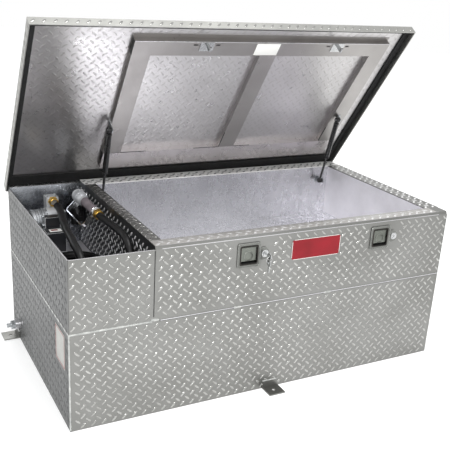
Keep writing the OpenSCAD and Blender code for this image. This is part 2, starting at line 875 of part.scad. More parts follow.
module filler_neck() {
    color(satin) translate([filler_at.x, filler_at.y, deck_z]) difference() {
        cylinder(h = filler_h, r = filler_r);
        translate([0, 0, -cut]) cylinder(h = filler_h + 2 * cut, r = filler_r - 3);
    }
}

module filler_cap() {
    color(dark) translate([filler_at.x, filler_at.y, deck_z + filler_h]) union() {
        translate([0, 0, -14]) cylinder(h = 14, r = filler_r - 3 - run_fit);
        translate([0, 0, face_gap]) cylinder(h = 12, r = filler_r + 6);
        translate([0, 0, -cut]) cylinder(h = 2, r = filler_r - 6);
        translate([-filler_r, -4, 10]) cube([2 * filler_r, 8, 14]);
    }
}

// Nozzle: it lies along the partition with its lever turned down to the left

nozzle_x = part_x - nozzle_in;
nozzle_z = tank_h - nozzle_drop;
spout_neck = 8;
spout_bend = 26;
holder_y = y1 - holder_back;
nozzle_y = holder_y - spout_neck - spout_bend - head_l - grip_l;
nozzle_turn = 45;
head_y = grip_l;

module on_nozzle() {
    translate([nozzle_x, nozzle_y, nozzle_z]) rotate([0, nozzle_turn, 0]) children();
}

// Turned body: hose end, rings, grip and a fat head with a shoulder
module nozzle_body() {
    color(casting) on_nozzle() union() {
        rotate([-90, 0, 0]) rotate_extrude() polygon([[0, 0], [grip_r + 2, 0], [grip_r + 2, 8],
            [grip_r, 10], [grip_r + 2, 12], [grip_r + 2, 20], [grip_r, 23], [grip_r - 2, 30],
            [grip_r - 2, grip_l - 24], [grip_r + 1, grip_l], [head_r - 3, grip_l + 8],
            [head_r, grip_l + 16], [head_r, grip_l + head_l - 16],
            [head_r - 7, grip_l + head_l - 4], [spout_r + 4, grip_l + head_l], [0, grip_l + head_l]]);
        translate([-5, head_y + 12, -head_r - 14]) cube([10, 26, 24]);
        bar_x(lever_pin, 2.5, 17);
    }
}

// Height of the floor in the holder's cup
cup_z = nozzle_z - 132;

// The spout: straight out of the head, then bent down into its holder
module nozzle_spout() {
    y = nozzle_y + grip_l + head_l;
    color(steel) {
        translate([nozzle_x, y, nozzle_z]) rotate([-90, 0, 0]) cylinder(h = spout_neck, r = spout_r);
        translate([nozzle_x, y + spout_neck, nozzle_z - spout_bend]) rotate([0, 90, 0]) rotate([0, 0, 90])
            rotate_extrude(angle = 90) translate([spout_bend, 0]) circle(r = spout_r);
        translate([nozzle_x, holder_y, cup_z + face_gap])
            cylinder(h = nozzle_z - spout_bend - cup_z - face_gap, r = spout_r);
    }
}

// A cup for the spout on a plate against the partition
module nozzle_holder() {
    color(dark) translate([nozzle_x, holder_y, cup_z]) difference() {
        union() {
            translate([0, 0, -4]) cylinder(h = 70, r = spout_r + 5);
            translate([0, -10, 6]) cube([nozzle_in, 20, 50]);
        }
        cylinder(h = 80, r = spout_r + face_gap);
    }
}

// The guard: a flat loop from the head round the hand to the grip's end
module nozzle_guard() {
    far = head_y + 50;
    color(steel) on_nozzle() translate([-7, 0, 0]) rotate([90, 0, 90]) linear_extrude(height = 14)
        difference() {
            translate([(far + 13) / 2, -guard_off / 2 - 6]) round_rect(far - 13, guard_off - 12, 16);
            translate([(far + 13) / 2, -guard_off / 2 - 6]) round_rect(far - 21, guard_off - 20, 12);
            translate([0, -grip_r - 2 - face_gap]) square([far / 2, head_r + 40]);
            translate([far / 2, -head_r - face_gap]) square([far, head_r + 40]);
        }
}

lever_pin = [0, head_y + 22, -head_r - 8];

// The lever: hinged on the lug's pin, it runs back along the grip inside the guard
module nozzle_lever() {
    color(dark) on_nozzle() translate(lever_pin) rotate([12, 0, 0]) difference() {
        union() {
            for (x = [-5 - face_gap - 2.5, 5 + face_gap]) translate([x, -90, -4]) cube([2.5, 96, 8]);
            translate([-5 - face_gap, -90, -4]) cube([10 + 2 * face_gap, 60, 2.5]);
        }
        bar_x([0, 0, 0], 2.5 + run_fit, 30);
    }
}

module nozzle_swivel() {
    color(brass) on_nozzle() {
        translate([0, 0, 0]) rotate([90, 0, 0]) cylinder(h = 14, r = 16, $fn = 6);
        translate([0, -14, 0]) rotate([90, 0, 0]) cylinder(h = 11, r = hose_d / 2 + 1);
    }
}

// Hose: two runs and the hank on the deck between them. Points are distances from the left end,
// from the front and from the deck's seam, chosen by hand
pump_run_end = outlet_y - 14 - fitting_l - y0;
pump_run = [[135, 600, 232], [128, 540, 231], [120, 480, 230], [108, 420, 230], [99, 360, 229],
    [90, 300, 229], [84, 240, 229], [80, 185, 228], [78, 144, 220], [77, 109, 197], [76, 86, 162],
    [76, 78, 121], [75, 86, 80], [75, 109, 45], [75, 144, 22], [75, 170, 16]];
hank_y0 = 195;
hank_y1 = pump_at.y - y0 - bung_r - 14;
nozzle_run_end = nozzle_y - 25 - y0;
nozzle_run = [[252, 400, 231], [255, 350, 231], [258, 300, 231], [260, 250, 230], [261, 209, 222],
    [262, 174, 198], [262, 150, 163], [262, 142, 122], [262, 150, 81], [262, 172, 48]];

function to_row(q) = [x0 + q.x, y0 + q.y, deck_z + q.z];
function mix(a, b, t) = a + (b - a) * t;

// A smooth curve through the points: three steps between each pair
function curve(p) = [for (i = [0:len(p) - 2], t = [0, 1 / 3, 2 / 3])
    let (a = p[max(i - 1, 0)], b = p[i], c = p[i + 1], d = p[min(i + 2, len(p) - 1)])
    0.5 * (2 * b + (c - a) * t + (2 * a - 5 * b + 4 * c - d) * t * t
        + (3 * b - 3 * c + d - a) * t * t * t), p[len(p) - 1]];

// One tube swept along the curve, with rings square to it
module tube(points, r, sides) {
    p = curve(points);
    n = len(p);
    rings = [for (i = [0:n - 1])
        let (d = p[min(i + 1, n - 1)] - p[max(i - 1, 0)], u = d / norm(d),
            s = cross(u, [1, 0, 0]), side = s / norm(s), up = cross(side, u))
        for (k = [0:sides - 1]) p[i] + r * (cos(360 * k / sides) * side + sin(360 * k / sides) * up)];
    polyhedron(rings, concat(
        [[for (k = [0:sides - 1]) sides - 1 - k]],
        [for (i = [0:n - 2], k = [0:sides - 1]) let (m = (k + 1) % sides)
            [i * sides + k, i * sides + m, (i + 1) * sides + m]],
        [for (i = [0:n - 2], k = [0:sides - 1]) let (m = (k + 1) % sides)
            [i * sides + k, (i + 1) * sides + m, (i + 1) * sides + k]],
        [[for (k = [0:sides - 1]) (n - 1) * sides + k]]));
}

module hose_pump_run() {
    ends = concat([[outlet_x, y0 + pump_run_end, outlet_z]],
        [for (q = pump_run) if (q.y < pump_run_end - 20) to_row(q)],
        [to_row([75, hank_y0, 14])]);
    color(dark) tube(ends, hose_d / 2, 10);
}

module hose_nozzle_run() {
    ends = concat([[nozzle_x, y0 + nozzle_run_end, nozzle_z]],
        [for (q = nozzle_run) if (q.y < nozzle_run_end - 20) to_row(q)],
        [to_row([262, hank_y0, 30])]);
    color(dark) tube(ends, hose_d / 2, 10);
}

// The hank: two layers of hose laid to and fro on the deck
module hose_hank() {
    w = 214;
    color(dark) translate([x0 + 61.5 + w / 2, y0 + (hank_y0 + hank_y1) / 2, deck_z + 0.5])
        linear_extrude(height = 2 * hose_d) round_rect(w, hank_y1 - hank_y0, 60);
}

tank_floor();
left_end_plate();
right_end_plate();
tank_front_plate();
back_plate();
tank_deck();
tank_baffles();
compartment_front_plate();
toolbox_front();
partition();
tub_pan();
tub_end_walls();
rear_rim();
right_rim();
mounting_tabs();
drain_bung();
drain_plug();
badge_plate();
latch_bezels();
latch_cases();
hinge_box_leaf();
hinge_pin();
strut_box_brackets();
filler_neck();
pump_bung();
pump_body();
pump_motor();
pump_fitting();
suction_tube();
nozzle_holder();
nozzle_body();
nozzle_spout();
nozzle_guard();
nozzle_swivel();
hose_pump_run();
hose_nozzle_run();
hose_hank();
lid_pan();
lid_front_rail();
lid_rear_rail();
lid_cross_rails();
lid_gasket();
strikers();
hinge_lid_leaf();
strut_lid_brackets();
strut_left_cylinder();
strut_left_rod();
strut_right_cylinder();
strut_right_rod();
left_paddle();
right_paddle();
left_claw();
right_claw();
left_lock();
right_lock();
left_key();
spare_key();
nozzle_lever();
pump_lever();
filler_cap();
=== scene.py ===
"""Truck bed transfer tank: materials, tread, latches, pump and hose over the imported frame.

Values are in millimetres, and MM turns them to Blender's metres.
"""
import math

import bmesh
import bpy
import numpy as np
from mathutils import Matrix, Vector


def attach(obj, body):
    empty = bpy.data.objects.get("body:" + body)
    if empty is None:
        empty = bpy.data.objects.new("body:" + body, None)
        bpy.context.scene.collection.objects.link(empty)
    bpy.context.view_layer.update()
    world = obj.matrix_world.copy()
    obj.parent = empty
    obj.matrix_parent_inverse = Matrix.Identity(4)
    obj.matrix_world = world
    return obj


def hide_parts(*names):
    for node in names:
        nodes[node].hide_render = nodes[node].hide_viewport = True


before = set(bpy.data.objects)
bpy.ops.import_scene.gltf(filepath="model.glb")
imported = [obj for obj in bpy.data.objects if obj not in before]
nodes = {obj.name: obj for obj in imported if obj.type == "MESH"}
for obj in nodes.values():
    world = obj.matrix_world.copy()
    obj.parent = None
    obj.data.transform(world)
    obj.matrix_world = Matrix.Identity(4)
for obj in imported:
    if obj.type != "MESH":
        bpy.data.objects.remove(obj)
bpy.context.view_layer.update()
MM = 0.001
scene = bpy.context.scene

# Sizes taken over from the part's source, in millimetres
X0, X1, Y0, Y1 = -762.0, 762.0, -406.4, 406.4
TANK_H, RIM_Z, DECK_Z, SHEET = 609.6, 620.0, 355.6, 3.2
PART_X, TUB_X0, TUB_X1, TUB_Y0, TUB_Y1, TUB_Z = -475.0, -432.0, 696.0, -348.4, 330.6, 397.0
LATCH_X, LATCH_Z, LOCK_OFF = (-130.0, 436.0), 548.0, 63.0
BADGE_X, BADGE_Z, BADGE_W, BADGE_H = 148.0, 544.0, 205.0, 74.0
HINGE_Y, HINGE_Z, LID_OPEN = 410.4, 591.2, 54.5
LID_UNDER, LID_TOP, FLANGE_Z = 627.0, 630.2, 596.2
LID_X, LID_Y0, LID_Y1, LID_FLANGE = 770.0, -414.4, 414.6, 34.0
STRUT_ARM, STRUT_DROP, STRUT_FOOT_BACK, STRUT_FOOT_DROP = 336.0, 40.0, 32.0, 57.0
STRUT_X = {"left": TUB_X0 + 15.3, "right": TUB_X1 - 61.0}


def linear(code):
    """An sRGB hex colour as linear RGBA."""
    out = []
    for k in (0, 2, 4):
        c = int(code[k:k + 2], 16) / 255
        out.append(c / 12.92 if c <= 0.04045 else ((c + 0.055) / 1.055) ** 2.4)
    return (*out, 1.0)


def v(*p):
    """A point given in millimetres, as a vector in metres."""
    return Vector(p) * MM


# Small builders: each shape is made in place, so that every object stays at the origin


def new_object(name, mesh, body, material, *replaced, slot=None, smooth=True):
    """Links a mesh as one piece on a body, with its material."""
    obj = bpy.data.objects.new(name, mesh)
    scene.collection.objects.link(obj)
    for mat in material if isinstance(material, (list, tuple)) else [material]:
        mesh.materials.append(mat)
    mesh.polygons.foreach_set("use_smooth", [smooth] * len(mesh.polygons))
    mesh.update()
    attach(obj, body)
    if replaced:
        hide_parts(*replaced)
    return obj


def from_bmesh(name, bm, body, material, *replaced, slot=None, smooth=True, sharp=35):
    """Turns a bmesh into one piece, its normals outwards and its edges over the angle sharp left crisp."""
    mesh = bpy.data.meshes.new(name)
    bmesh.ops.recalc_face_normals(bm, faces=bm.faces)
    bm.to_mesh(mesh)
    bm.free()
    obj = new_object(name, mesh, body, material, *replaced, slot=slot, smooth=smooth)
    if smooth:
        mesh.set_sharp_from_angle(angle=math.radians(sharp))
    return obj


def box_into(bm, centre, dims, bevel=0.0, turn=None, segments=2):
    """A box with rounded edges, added to bm; sizes in millimetres."""
    made = bmesh.ops.create_cube(bm, size=1.0)["verts"]
    bmesh.ops.scale(bm, vec=Vector(dims) * MM, verts=made)
    if bevel:
        edges = list({e for p in made for e in p.link_edges})
        made = bmesh.ops.bevel(bm, geom=edges + made, offset=bevel * MM, segments=segments, affect="EDGES",
                               profile=0.5, material=-1)["verts"]
        made = list(set(made) | {q for p in made for f in p.link_faces for q in f.verts})
    if turn is not None:
        bmesh.ops.rotate(bm, cent=(0, 0, 0), matrix=turn, verts=made)
    bmesh.ops.translate(bm, vec=v(*centre), verts=made)
    return made


def lathe_into(bm, profile, place, steps=48):
    """A profile of (radius, height) pairs turned about its own axis and moved by the matrix place."""
    verts = [bm.verts.new((r * MM, 0, h * MM)) for r, h in profile]
    edges = [bm.edges.new(pair) for pair in zip(verts, verts[1:])]
    made = bmesh.ops.spin(bm, geom=verts + edges, cent=(0, 0, 0), axis=(0, 0, 1), angle=2 * math.pi,
                          steps=steps, use_merge=True)
    near = set(verts)
    todo = list(verts)
    while todo:
        for e in todo.pop().link_edges:
            for p in e.verts:
                if p not in near:
                    near.add(p)
                    todo.append(p)
    near = [p for p in near if p.is_valid]
    bmesh.ops.remove_doubles(bm, verts=near, dist=1e-6)
    near = [p for p in near if p.is_valid]
    bmesh.ops.transform(bm, matrix=place, verts=near)
    return near


def at(x, y, z, axis=(0, 0, 1)):
    """A matrix that puts a lathed shape at a point with its axis along the given direction."""
    return Matrix.Translation(v(x, y, z)) @ Vector(axis).to_track_quat("Z", "Y").to_matrix().to_4x4()


def catmull(points, steps):
    """A smooth curve through the points, as a list of arrays."""
    p = np.array(points, float)
    out = []
    for i in range(len(p) - 1):
        a, b, c, d = p[max(i - 1, 0)], p[i], p[i + 1], p[min(i + 2, len(p) - 1)]
        for t in np.linspace(0, 1, steps, endpoint=False):
            out.append(0.5 * (2 * b + (c - a) * t + (2 * a - 5 * b + 4 * c - d) * t * t
                              + (3 * b - 3 * c + d - a) * t ** 3))
    out.append(p[-1])
    return np.array(out)


def tube_mesh(path, radius, sides):
    """A closed tube along a path, its rings turned as little as possible, with a UV map; all in metres."""
    path = np.array(path)
    along = np.gradient(path, axis=0)
    along /= np.linalg.norm(along, axis=1)[:, None]
    side = np.cross(along[0], (0.3, 0.1, 0.9))
    rings = []
    for t in along:
        side = side - t * np.dot(side, t)
        side /= np.linalg.norm(side)
        rings.append((side.copy(), np.cross(t, side)))
    bm = bmesh.new()
    uv = bm.loops.layers.uv.new("UVMap")
    dist = np.r_[0, np.cumsum(np.linalg.norm(np.diff(path, axis=0), axis=1))]
    loops = []
    for p, (a, b) in zip(path, rings):
        loops.append([bm.verts.new(p + radius * (a * math.cos(w) + b * math.sin(w)))
                      for w in np.arange(sides) * 2 * math.pi / sides])
    for i in range(len(path) - 1):
        for k in range(sides):
            m = (k + 1) % sides
            f = bm.faces.new((loops[i][k], loops[i][m], loops[i + 1][m], loops[i + 1][k]))
            places = ((dist[i], k), (dist[i], k + 1), (dist[i + 1], k + 1), (dist[i + 1], k))
            for loop, (d, u) in zip(f.loops, places):
                loop[uv].uv = (d, u / sides)
    bm.faces.new(loops[0][::-1])
    bm.faces.new(loops[-1])
    return bm


# Materials: each is named for its finish, or for the light or shade painted into it, and every pattern's size
# is a real one in millimetres


def add(tree, kind, inputs=(), **settings):
    """Adds one shader node with its settings. An input given as a socket is linked, any other is set."""
    node = tree.nodes.new("ShaderNode" + kind)
    for key, value in settings.items():
        setattr(node, key, value)
    for key, value in dict(inputs).items():
        connect(tree, node.inputs[key], value)
    return node


def connect(tree, socket, value):
    if isinstance(value, bpy.types.NodeSocket):
        tree.links.new(value, socket)
    else:
        socket.default_value = value


def finish(name, **values):
    """A new material and its tree; values go to the shader's own sockets."""
    material = bpy.data.materials.new(name)
    material.use_nodes = True
    tree = material.node_tree
    shader = tree.nodes["Principled BSDF"]
    for key, value in values.items():
        connect(tree, shader.inputs[key.replace("_", " ")], value)
    return material, tree, shader


def per_metre(size_mm):
    """The noise scale whose cells have the given size."""
    return 1 / (size_mm * MM)


def metal(name, dark, light, rough, stretch=(1, 1, 1), grain=3.33, grain_depth=0.04, cloud=250.0,
          metallic=1.0, wear=None, bump=0.25):
    """Bare metal: slow colour clouds, a fine grain along the stretched axis, smudged gloss and rubbed edges.

    grain is the grain's width and cloud the size of a patch, both drawn coarse enough to show in a picture.
    """
    material, tree, shader = finish(name, Metallic=metallic)
    place = add(tree, "TexCoord").outputs["Object"]
    clouds = add(tree, "TexNoise", {"Vector": place, "Scale": per_metre(cloud), "Detail": 5.0,
                                    "Roughness": 0.55})
    tone = add(tree, "MapRange", {"Value": clouds.outputs["Fac"], "From Min": 0.3, "From Max": 0.7})
    patches = add(tree, "Mix", {"Factor": tone.outputs["Result"], 6: linear(dark), 7: linear(light)},
                  data_type="RGBA")
    stretched = add(tree, "Mapping", {"Vector": place, "Scale": stretch})
    fine = add(tree, "TexNoise", {"Vector": stretched.outputs["Vector"], "Scale": per_metre(grain),
                                  "Detail": 3.0, "Roughness": 0.55}).outputs["Fac"]
    lines = add(tree, "MapRange", {"Value": fine, "To Min": 0.0, "To Max": 0.25})
    colour = add(tree, "Mix", {"Factor": lines.outputs["Result"], 6: patches.outputs[2], 7: linear(dark)},
                 data_type="RGBA").outputs[2]
    if wear:
        bevel = add(tree, "Bevel", {"Radius": 2 * MM}, samples=4)
        face = add(tree, "NewGeometry")
        dot = add(tree, "VectorMath", {0: bevel.outputs["Normal"], 1: face.outputs["Normal"]},
                  operation="DOT_PRODUCT")
        edge = add(tree, "MapRange", {"Value": dot.outputs["Value"], "From Min": 0.8, "From Max": 0.99,
                                      "To Min": 1.0, "To Max": 0.0})
        colour = add(tree, "Mix", {"Factor": edge.outputs["Result"], 6: colour, 7: linear(wear)},
                     data_type="RGBA").outputs[2]
    smudge = add(tree, "TexNoise", {"Vector": place, "Scale": per_metre(cloud / 6), "Detail": 6.0,
                                    "Roughness": 0.7})
    scatter = add(tree, "MapRange", {"Value": fine, "To Min": -0.2, "To Max": 0.2})
    blur = add(tree, "Math", {0: smudge.outputs["Fac"], 1: scatter.outputs["Result"]}, operation="ADD")
    gloss = add(tree, "MapRange", {"Value": blur.outputs[0], "From Min": 0.25, "From Max": 0.75,
                                   "To Min": rough[0], "To Max": rough[1]})
    relief = add(tree, "Bump", {"Height": fine, "Strength": bump, "Distance": grain_depth * MM})
    connect(tree, shader.inputs["Base Color"], colour)
    connect(tree, shader.inputs["Roughness"], gloss.outputs["Result"])
    connect(tree, shader.inputs["Normal"], relief.outputs["Normal"])
    return material


def coated(name, base, other, rough=(0.35, 0.55), cloud=111.0, speck=1.43, depth=0.05, bump=0.3, metallic=0.0,
           **more):
    """Paint, plastic or rubber: two near tones, a fine moulded or sprayed skin, and uneven gloss.

    speck is the skin's grain and cloud the size of a patch, both drawn coarse enough to show in a picture.
    """
    material, tree, shader = finish(name, Metallic=metallic, **more)
    place = add(tree, "TexCoord").outputs["Object"]
    clouds = add(tree, "TexNoise", {"Vector": place, "Scale": per_metre(cloud), "Detail": 5.0,
                                    "Roughness": 0.55})
    tone = add(tree, "MapRange", {"Value": clouds.outputs["Fac"], "From Min": 0.35, "From Max": 0.7})
    colour = add(tree, "Mix", {"Factor": tone.outputs["Result"], 6: linear(base), 7: linear(other)},
                 data_type="RGBA")
    fine = add(tree, "TexNoise", {"Vector": place, "Scale": per_metre(speck), "Detail": 2.0,
                                  "Roughness": 0.55})
    uneven = add(tree, "TexNoise", {"Vector": place, "Scale": per_metre(cloud / 4), "Detail": 5.0,
                                    "Roughness": 0.55})
    gloss = add(tree, "MapRange", {"Value": uneven.outputs["Fac"], "From Min": 0.3, "From Max": 0.7,
                                   "To Min": rough[0], "To Max": rough[1]})
    relief = add(tree, "Bump", {"Height": fine.outputs["Fac"], "Strength": bump, "Distance": depth * MM})
    connect(tree, shader.inputs["Base Color"], colour.outputs[2])
    connect(tree, shader.inputs["Roughness"], gloss.outputs["Result"])
    connect(tree, shader.inputs["Normal"], relief.outputs["Normal"])
    return material


# Rolled aluminium tread plate: softly grey between the lugs; the lugs are a lighter and glossier copy, their
# lighter colour a painted highlight on the crowns
TREAD = metal("tread_plate_bright_aluminium", "7F7F7C", "929290", (0.3, 0.46), grain=2.38, cloud=333)
# The lid's plate is a lighter copy of the same plate, as painted light on the lid
LID_PAINTED_LIGHT_PLATE = metal("tread_plate_lid_painted_light_aluminium", "9B9B98", "B0B0AC", (0.3, 0.46), grain=2.38, cloud=333)
LUG = metal("tread_lug_polished_painted_highlight_aluminium", "989895", "B9B9B6", (0.13, 0.24), grain=2.0, cloud=143)
# The rims face up to the lamps and are lighter copies of the plate: painted light on the rear rim, a little
# on the front rim, and lugs lighter still as painted highlight, which the partition's side takes too
RIM = metal("rear_rim_painted_light_aluminium", "D8D8D6", "F2F2F0", (0.45, 0.6), grain=2.38, cloud=200, metallic=0.3)
RIM_FRONT = metal("front_rim_painted_light_aluminium", "A9A7A4", "C2C0BD", (0.36, 0.5), grain=2.38, cloud=250, metallic=0.7)
LUG_PAINTED_HIGHLIGHT = metal("rim_lug_painted_highlight_aluminium", "DCDCDC", "F6F6F6", (0.2, 0.34), grain=2.0, cloud=143,
                metallic=0.5)

# The same plate in a darker copy, as painted shade on the faces turned from the light: the left end, the
# partition and the floor, and the lugs of the left end and the rear rim
TREAD_PAINTED_SHADE = metal("tread_plate_painted_shade_aluminium", "5B5C5C", "6C6D6D", (0.34, 0.5), grain=2.38, cloud=333)
LUG_PAINTED_SHADE = metal("tread_lug_painted_shade_aluminium", "606161", "767777", (0.26, 0.4), grain=2.0, cloud=143)

# Mill finish sheet: long, faint rolling streaks in the direction that the sheet was rolled
MILL = metal("mill_finish_aluminium_sheet", "C4C4C6", "E2E1E4", (0.2, 0.36), (3, 60, 3), 16.7, cloud=400)
# The lid's front and cross rails get a darker copy of the mill sheet, as painted shade
MILL_X = metal("rail_painted_shade_mill_aluminium", "959290", "AEABA9", (0.26, 0.4), (2, 60, 60), 16.7, cloud=400)
MILL_Y = metal("mill_finish_aluminium_rear_rail", "C8C3C4", "E2DDDF", (0.22, 0.36), (2, 60, 60), 16.7,
               cloud=400)

# The tub's bare sheet: cool and bright, with upright streaks on the walls. The end walls and the deck get a
# near-white copy with a coarse mottled grain, its lighter colour painted light
TUB = metal("brushed_aluminium_tub_sheet", "CCCCD0", "EEEEF2", (0.2, 0.34), (1, 0.06, 0.05), 13.3,
            grain_depth=0.4, cloud=400, metallic=0.85)
TUB_END = metal("tub_end_painted_light_aluminium", "DEDCE0", "FAF8FC", (0.3, 0.44), grain=9.09, grain_depth=0.8,
                cloud=200, metallic=0.6, bump=0.5)
LINING = metal("compartment_inner_aluminium", "8A8D93", "BFC3C9", (0.2, 0.34), (40, 3, 3), 33.3,
               grain_depth=0.6, cloud=111)

# The tread plate's inner side: nearly mirror bright, with a faint print of each lug
INNER = metal("lid_inner_bright_aluminium", "B6B4B4", "D2D0D0", (0.25, 0.36), grain=2.0, cloud=333, bump=0.12)
PRINT = metal("lid_inner_lug_print_aluminium", "B0AEAD", "CBC9C8", (0.25, 0.36), grain=2.0, cloud=333,
              bump=0.12)

# Weld beads are rough and light, from the cleaning along them
WELD = metal("weld_bead_aluminium", "A8AAA8", "D6D7D4", (0.3, 0.5), grain=1.11, cloud=25, bump=0.5)

# Latches in dull chromed zinc: smoky grey, brighter where the edges are rubbed
LATCH = metal("dull_chromed_zinc_casting", "6C6D6A", "868783", (0.26, 0.4), grain=1.43, cloud=71,
              wear="B4B5B2")
PADDLE = metal("satin_zinc_paddle", "6B6E68", "82857F", (0.3, 0.44), grain=1.43, cloud=71, wear="A6A8A3")
# Near-black window trim round each paddle, as painted shade in the latch's recess
SHADOW_STEEL = coated("window_trim_painted_shade", "201E1C", "34302C", (0.3, 0.45), 83, 1.11, metallic=0.6)

# Die castings have a fine pebbled skin and a soft sheen
CAST = metal("die_cast_aluminium_satin", "A9ACB0", "C9CCCF", (0.38, 0.56), grain=0.667, grain_depth=0.1,
             cloud=83, bump=0.5, wear="DADCDD")
CAST_LIGHT = metal("die_cast_aluminium_light", "BEC1C5", "E2E4E6", (0.38, 0.54), grain=0.667, grain_depth=0.1,
                   cloud=83, metallic=0.55, bump=0.5, wear="F0F1F2")

# Small hardware: mirror chrome, brushed stainless, dull zinc plate, and warm turned brass with fine rings
CHROME = metal("chrome_plated_steel", "C4C6C8", "E6E7E8", (0.08, 0.18), cloud=125, bump=0.08)
STAINLESS = metal("brushed_stainless_steel", "A6A8A9", "CFD0D0", (0.18, 0.34), (2, 80, 80), 12.5, cloud=111,
                  wear="E4E5E5")
ZINC = metal("zinc_plated_steel", "9A9EA2", "C3C6C8", (0.25, 0.45), grain=1.25, cloud=40)
BRASS = metal("turned_brass", "A8843C", "D2AF62", (0.2, 0.38), (80, 2, 80), 16.7, cloud=71, wear="E0C37E")

# Black parts: the hose has a satin rubber skin, the gasket a matt foam one, the struts a wet enamel gloss
HOSE = coated("black_rubber_fuel_hose", "050506", "0D0D0E", (0.34, 0.48), 50, 0.833, depth=0.1, bump=0.4,
              Specular_IOR_Level=0.3)
GASKET = coated("black_foam_gasket", "0E0E0E", "1B1B1C", (0.7, 0.9), 50, 1.11, depth=0.4, bump=0.6)
BLACK_STEEL = coated("black_enamelled_steel", "0A0A0B", "131314", (0.2, 0.32), 167, 1.11, Coat_Weight=0.3)
PLASTIC = coated("black_moulded_nylon", "0E0E0F", "1A1A1B", (0.38, 0.55), 83, 0.625)
CLIP = coated("black_nylon_ball_socket", "101011", "1D1D1E", (0.35, 0.5), 71, 0.769)
COVER = coated("dark_grey_pump_enamel", "17181B", "232429", (0.3, 0.45), 111, 1.43, Coat_Weight=0.15)
# A near-black sheet laid in gaps, grooves, the latch dishes and the rail joints, as painted shade
SHADE_SHEET = coated("painted_shade_sheet", "1B1B1B", "2A2A29", (0.6, 0.8), 33.3, 1.11)

# Labels and plates are bare: deep red enamel, white vinyl, a plain etched plate, and the grip's soft sleeve
RED = coated("deep_red_enamel", "7C0614", "920C1E", (0.32, 0.46), 100, 1.11, Specular_IOR_Level=0.3)
LABEL = coated("white_vinyl_label", "E8E8E4", "F4F4F1", (0.35, 0.5), 125, 1.43)
PLATE = metal("bare_data_plate", "A7A7A4", "BDBDB9", (0.35, 0.5), grain=2.0, cloud=83)
SLEEVE = coated("mauve_grey_vinyl_sleeve", "6C6468", "857C80", (0.4, 0.55), 62.5, 0.909, depth=0.1, bump=0.4)


def dress(material, *names):
    """Gives carried-over CAD nodes their finish; the mesh stays as it is."""
    for name in names:
        obj = nodes[name]
        if not obj.material_slots:
            obj.data.materials.append(material)
        for s in obj.material_slots:
            s.link = "OBJECT"
            s.material = material


dress(TREAD, "right_end_plate", "tank_front_plate", "back_plate", "compartment_front_plate",
      "toolbox_front", "right_rim", "mounting_tabs")
dress(LID_PAINTED_LIGHT_PLATE, "lid_pan")
dress(RIM, "rear_rim")
dress(TREAD_PAINTED_SHADE, "left_end_plate", "partition", "tank_floor")
dress(TUB, "tub_pan")
dress(TUB_END, "tub_end_walls", "tank_deck")
dress(MILL, "tank_baffles", "filler_neck", "pump_bung", "drain_bung")
dress(MILL_X, "lid_front_rail", "lid_cross_rails")
dress(MILL_Y, "lid_rear_rail")
dress(CAST, "pump_motor")
dress(CAST_LIGHT, "pump_body", "nozzle_body")
dress(CHROME, "nozzle_guard", "nozzle_spout")
dress(LATCH, "latch_bezels")
dress(PADDLE, "left_paddle", "right_paddle")
dress(STAINLESS, "left_lock", "right_lock", "left_key", "spare_key", "hinge_box_leaf", "hinge_lid_leaf",
      "hinge_pin", "strikers")
dress(ZINC, "latch_cases", "left_claw", "right_claw", "strut_lid_brackets", "strut_box_brackets",
      "suction_tube", "drain_plug", "pump_lever")
dress(BRASS, "pump_fitting", "nozzle_swivel")
dress(BLACK_STEEL, "strut_left_cylinder", "strut_right_cylinder", "strut_left_rod", "strut_right_rod")
dress(PLASTIC, "nozzle_holder", "nozzle_lever", "filler_cap")
dress(GASKET, "lid_gasket")
dress(RED, "badge_plate")

# Camera, light and floor, in metres. The camera was fitted to the box's corners in the photo

EYE = Vector((-1.344, -2.4794, 1.472))
FORWARD = Vector((0.4572, 0.8161, -0.3536)).normalized()
SIDEWAYS = Vector((0.8819, -0.4675, 0.0611))
RIGHT = (SIDEWAYS - FORWARD * SIDEWAYS.dot(FORWARD)).normalized()
camera = bpy.data.objects.new("camera", bpy.data.cameras.new("camera"))
scene.collection.objects.link(camera)
camera.data.lens = 60.0
camera.data.sensor_width = 36.0
camera.data.shift_x = -0.0238
camera.data.shift_y = 0.0551
camera.data.clip_start = 0.05
camera.data.clip_end = 60
turn = Matrix((RIGHT, RIGHT.cross(FORWARD), -FORWARD)).transposed().to_4x4()
camera.matrix_world = Matrix.Translation(EYE) @ turn
scene.camera = camera
scene.view_settings.view_transform = "Standard"


def area(name, place, target, width, height, power):
    """A white rectangular lamp at a place, turned to its target."""
    data = bpy.data.lights.new(name, "AREA")
    data.shape = "RECTANGLE"
    data.size = width
    data.size_y = height
    data.energy = power
    obj = bpy.data.objects.new(name, data)
    scene.collection.objects.link(obj)
    obj.location = place
    obj.rotation_euler = (Vector(target) - Vector(place)).to_track_quat("-Z", "Y").to_euler()


area("key", (-2.2, -3.6, 3.4), (0, 0, 0.5), 0.6, 0.5, 42)
area("flash", (-1.25, -2.3, 1.95), (-0.55, 0.0, 0.55), 0.3, 0.3, 14)
area("front_fill", (0.9, -4.2, 1.5), (0.0, 0, 0.4), 2.6, 2.2, 6)
area("over", (0.1, -0.5, 2.9), (0.1, 0.1, 0.4), 1.6, 0.7, 30)
area("back", (1.0, 4.2, 2.6), (0, 0, 0.5), 2.6, 2.0, 30)

world = bpy.data.worlds.new("studio")
world.use_nodes = True
background = world.node_tree.nodes["Background"]
background.inputs["Color"].default_value = linear("FFFFFF")
background.inputs["Strength"].default_value = 1.0
scene.world = world

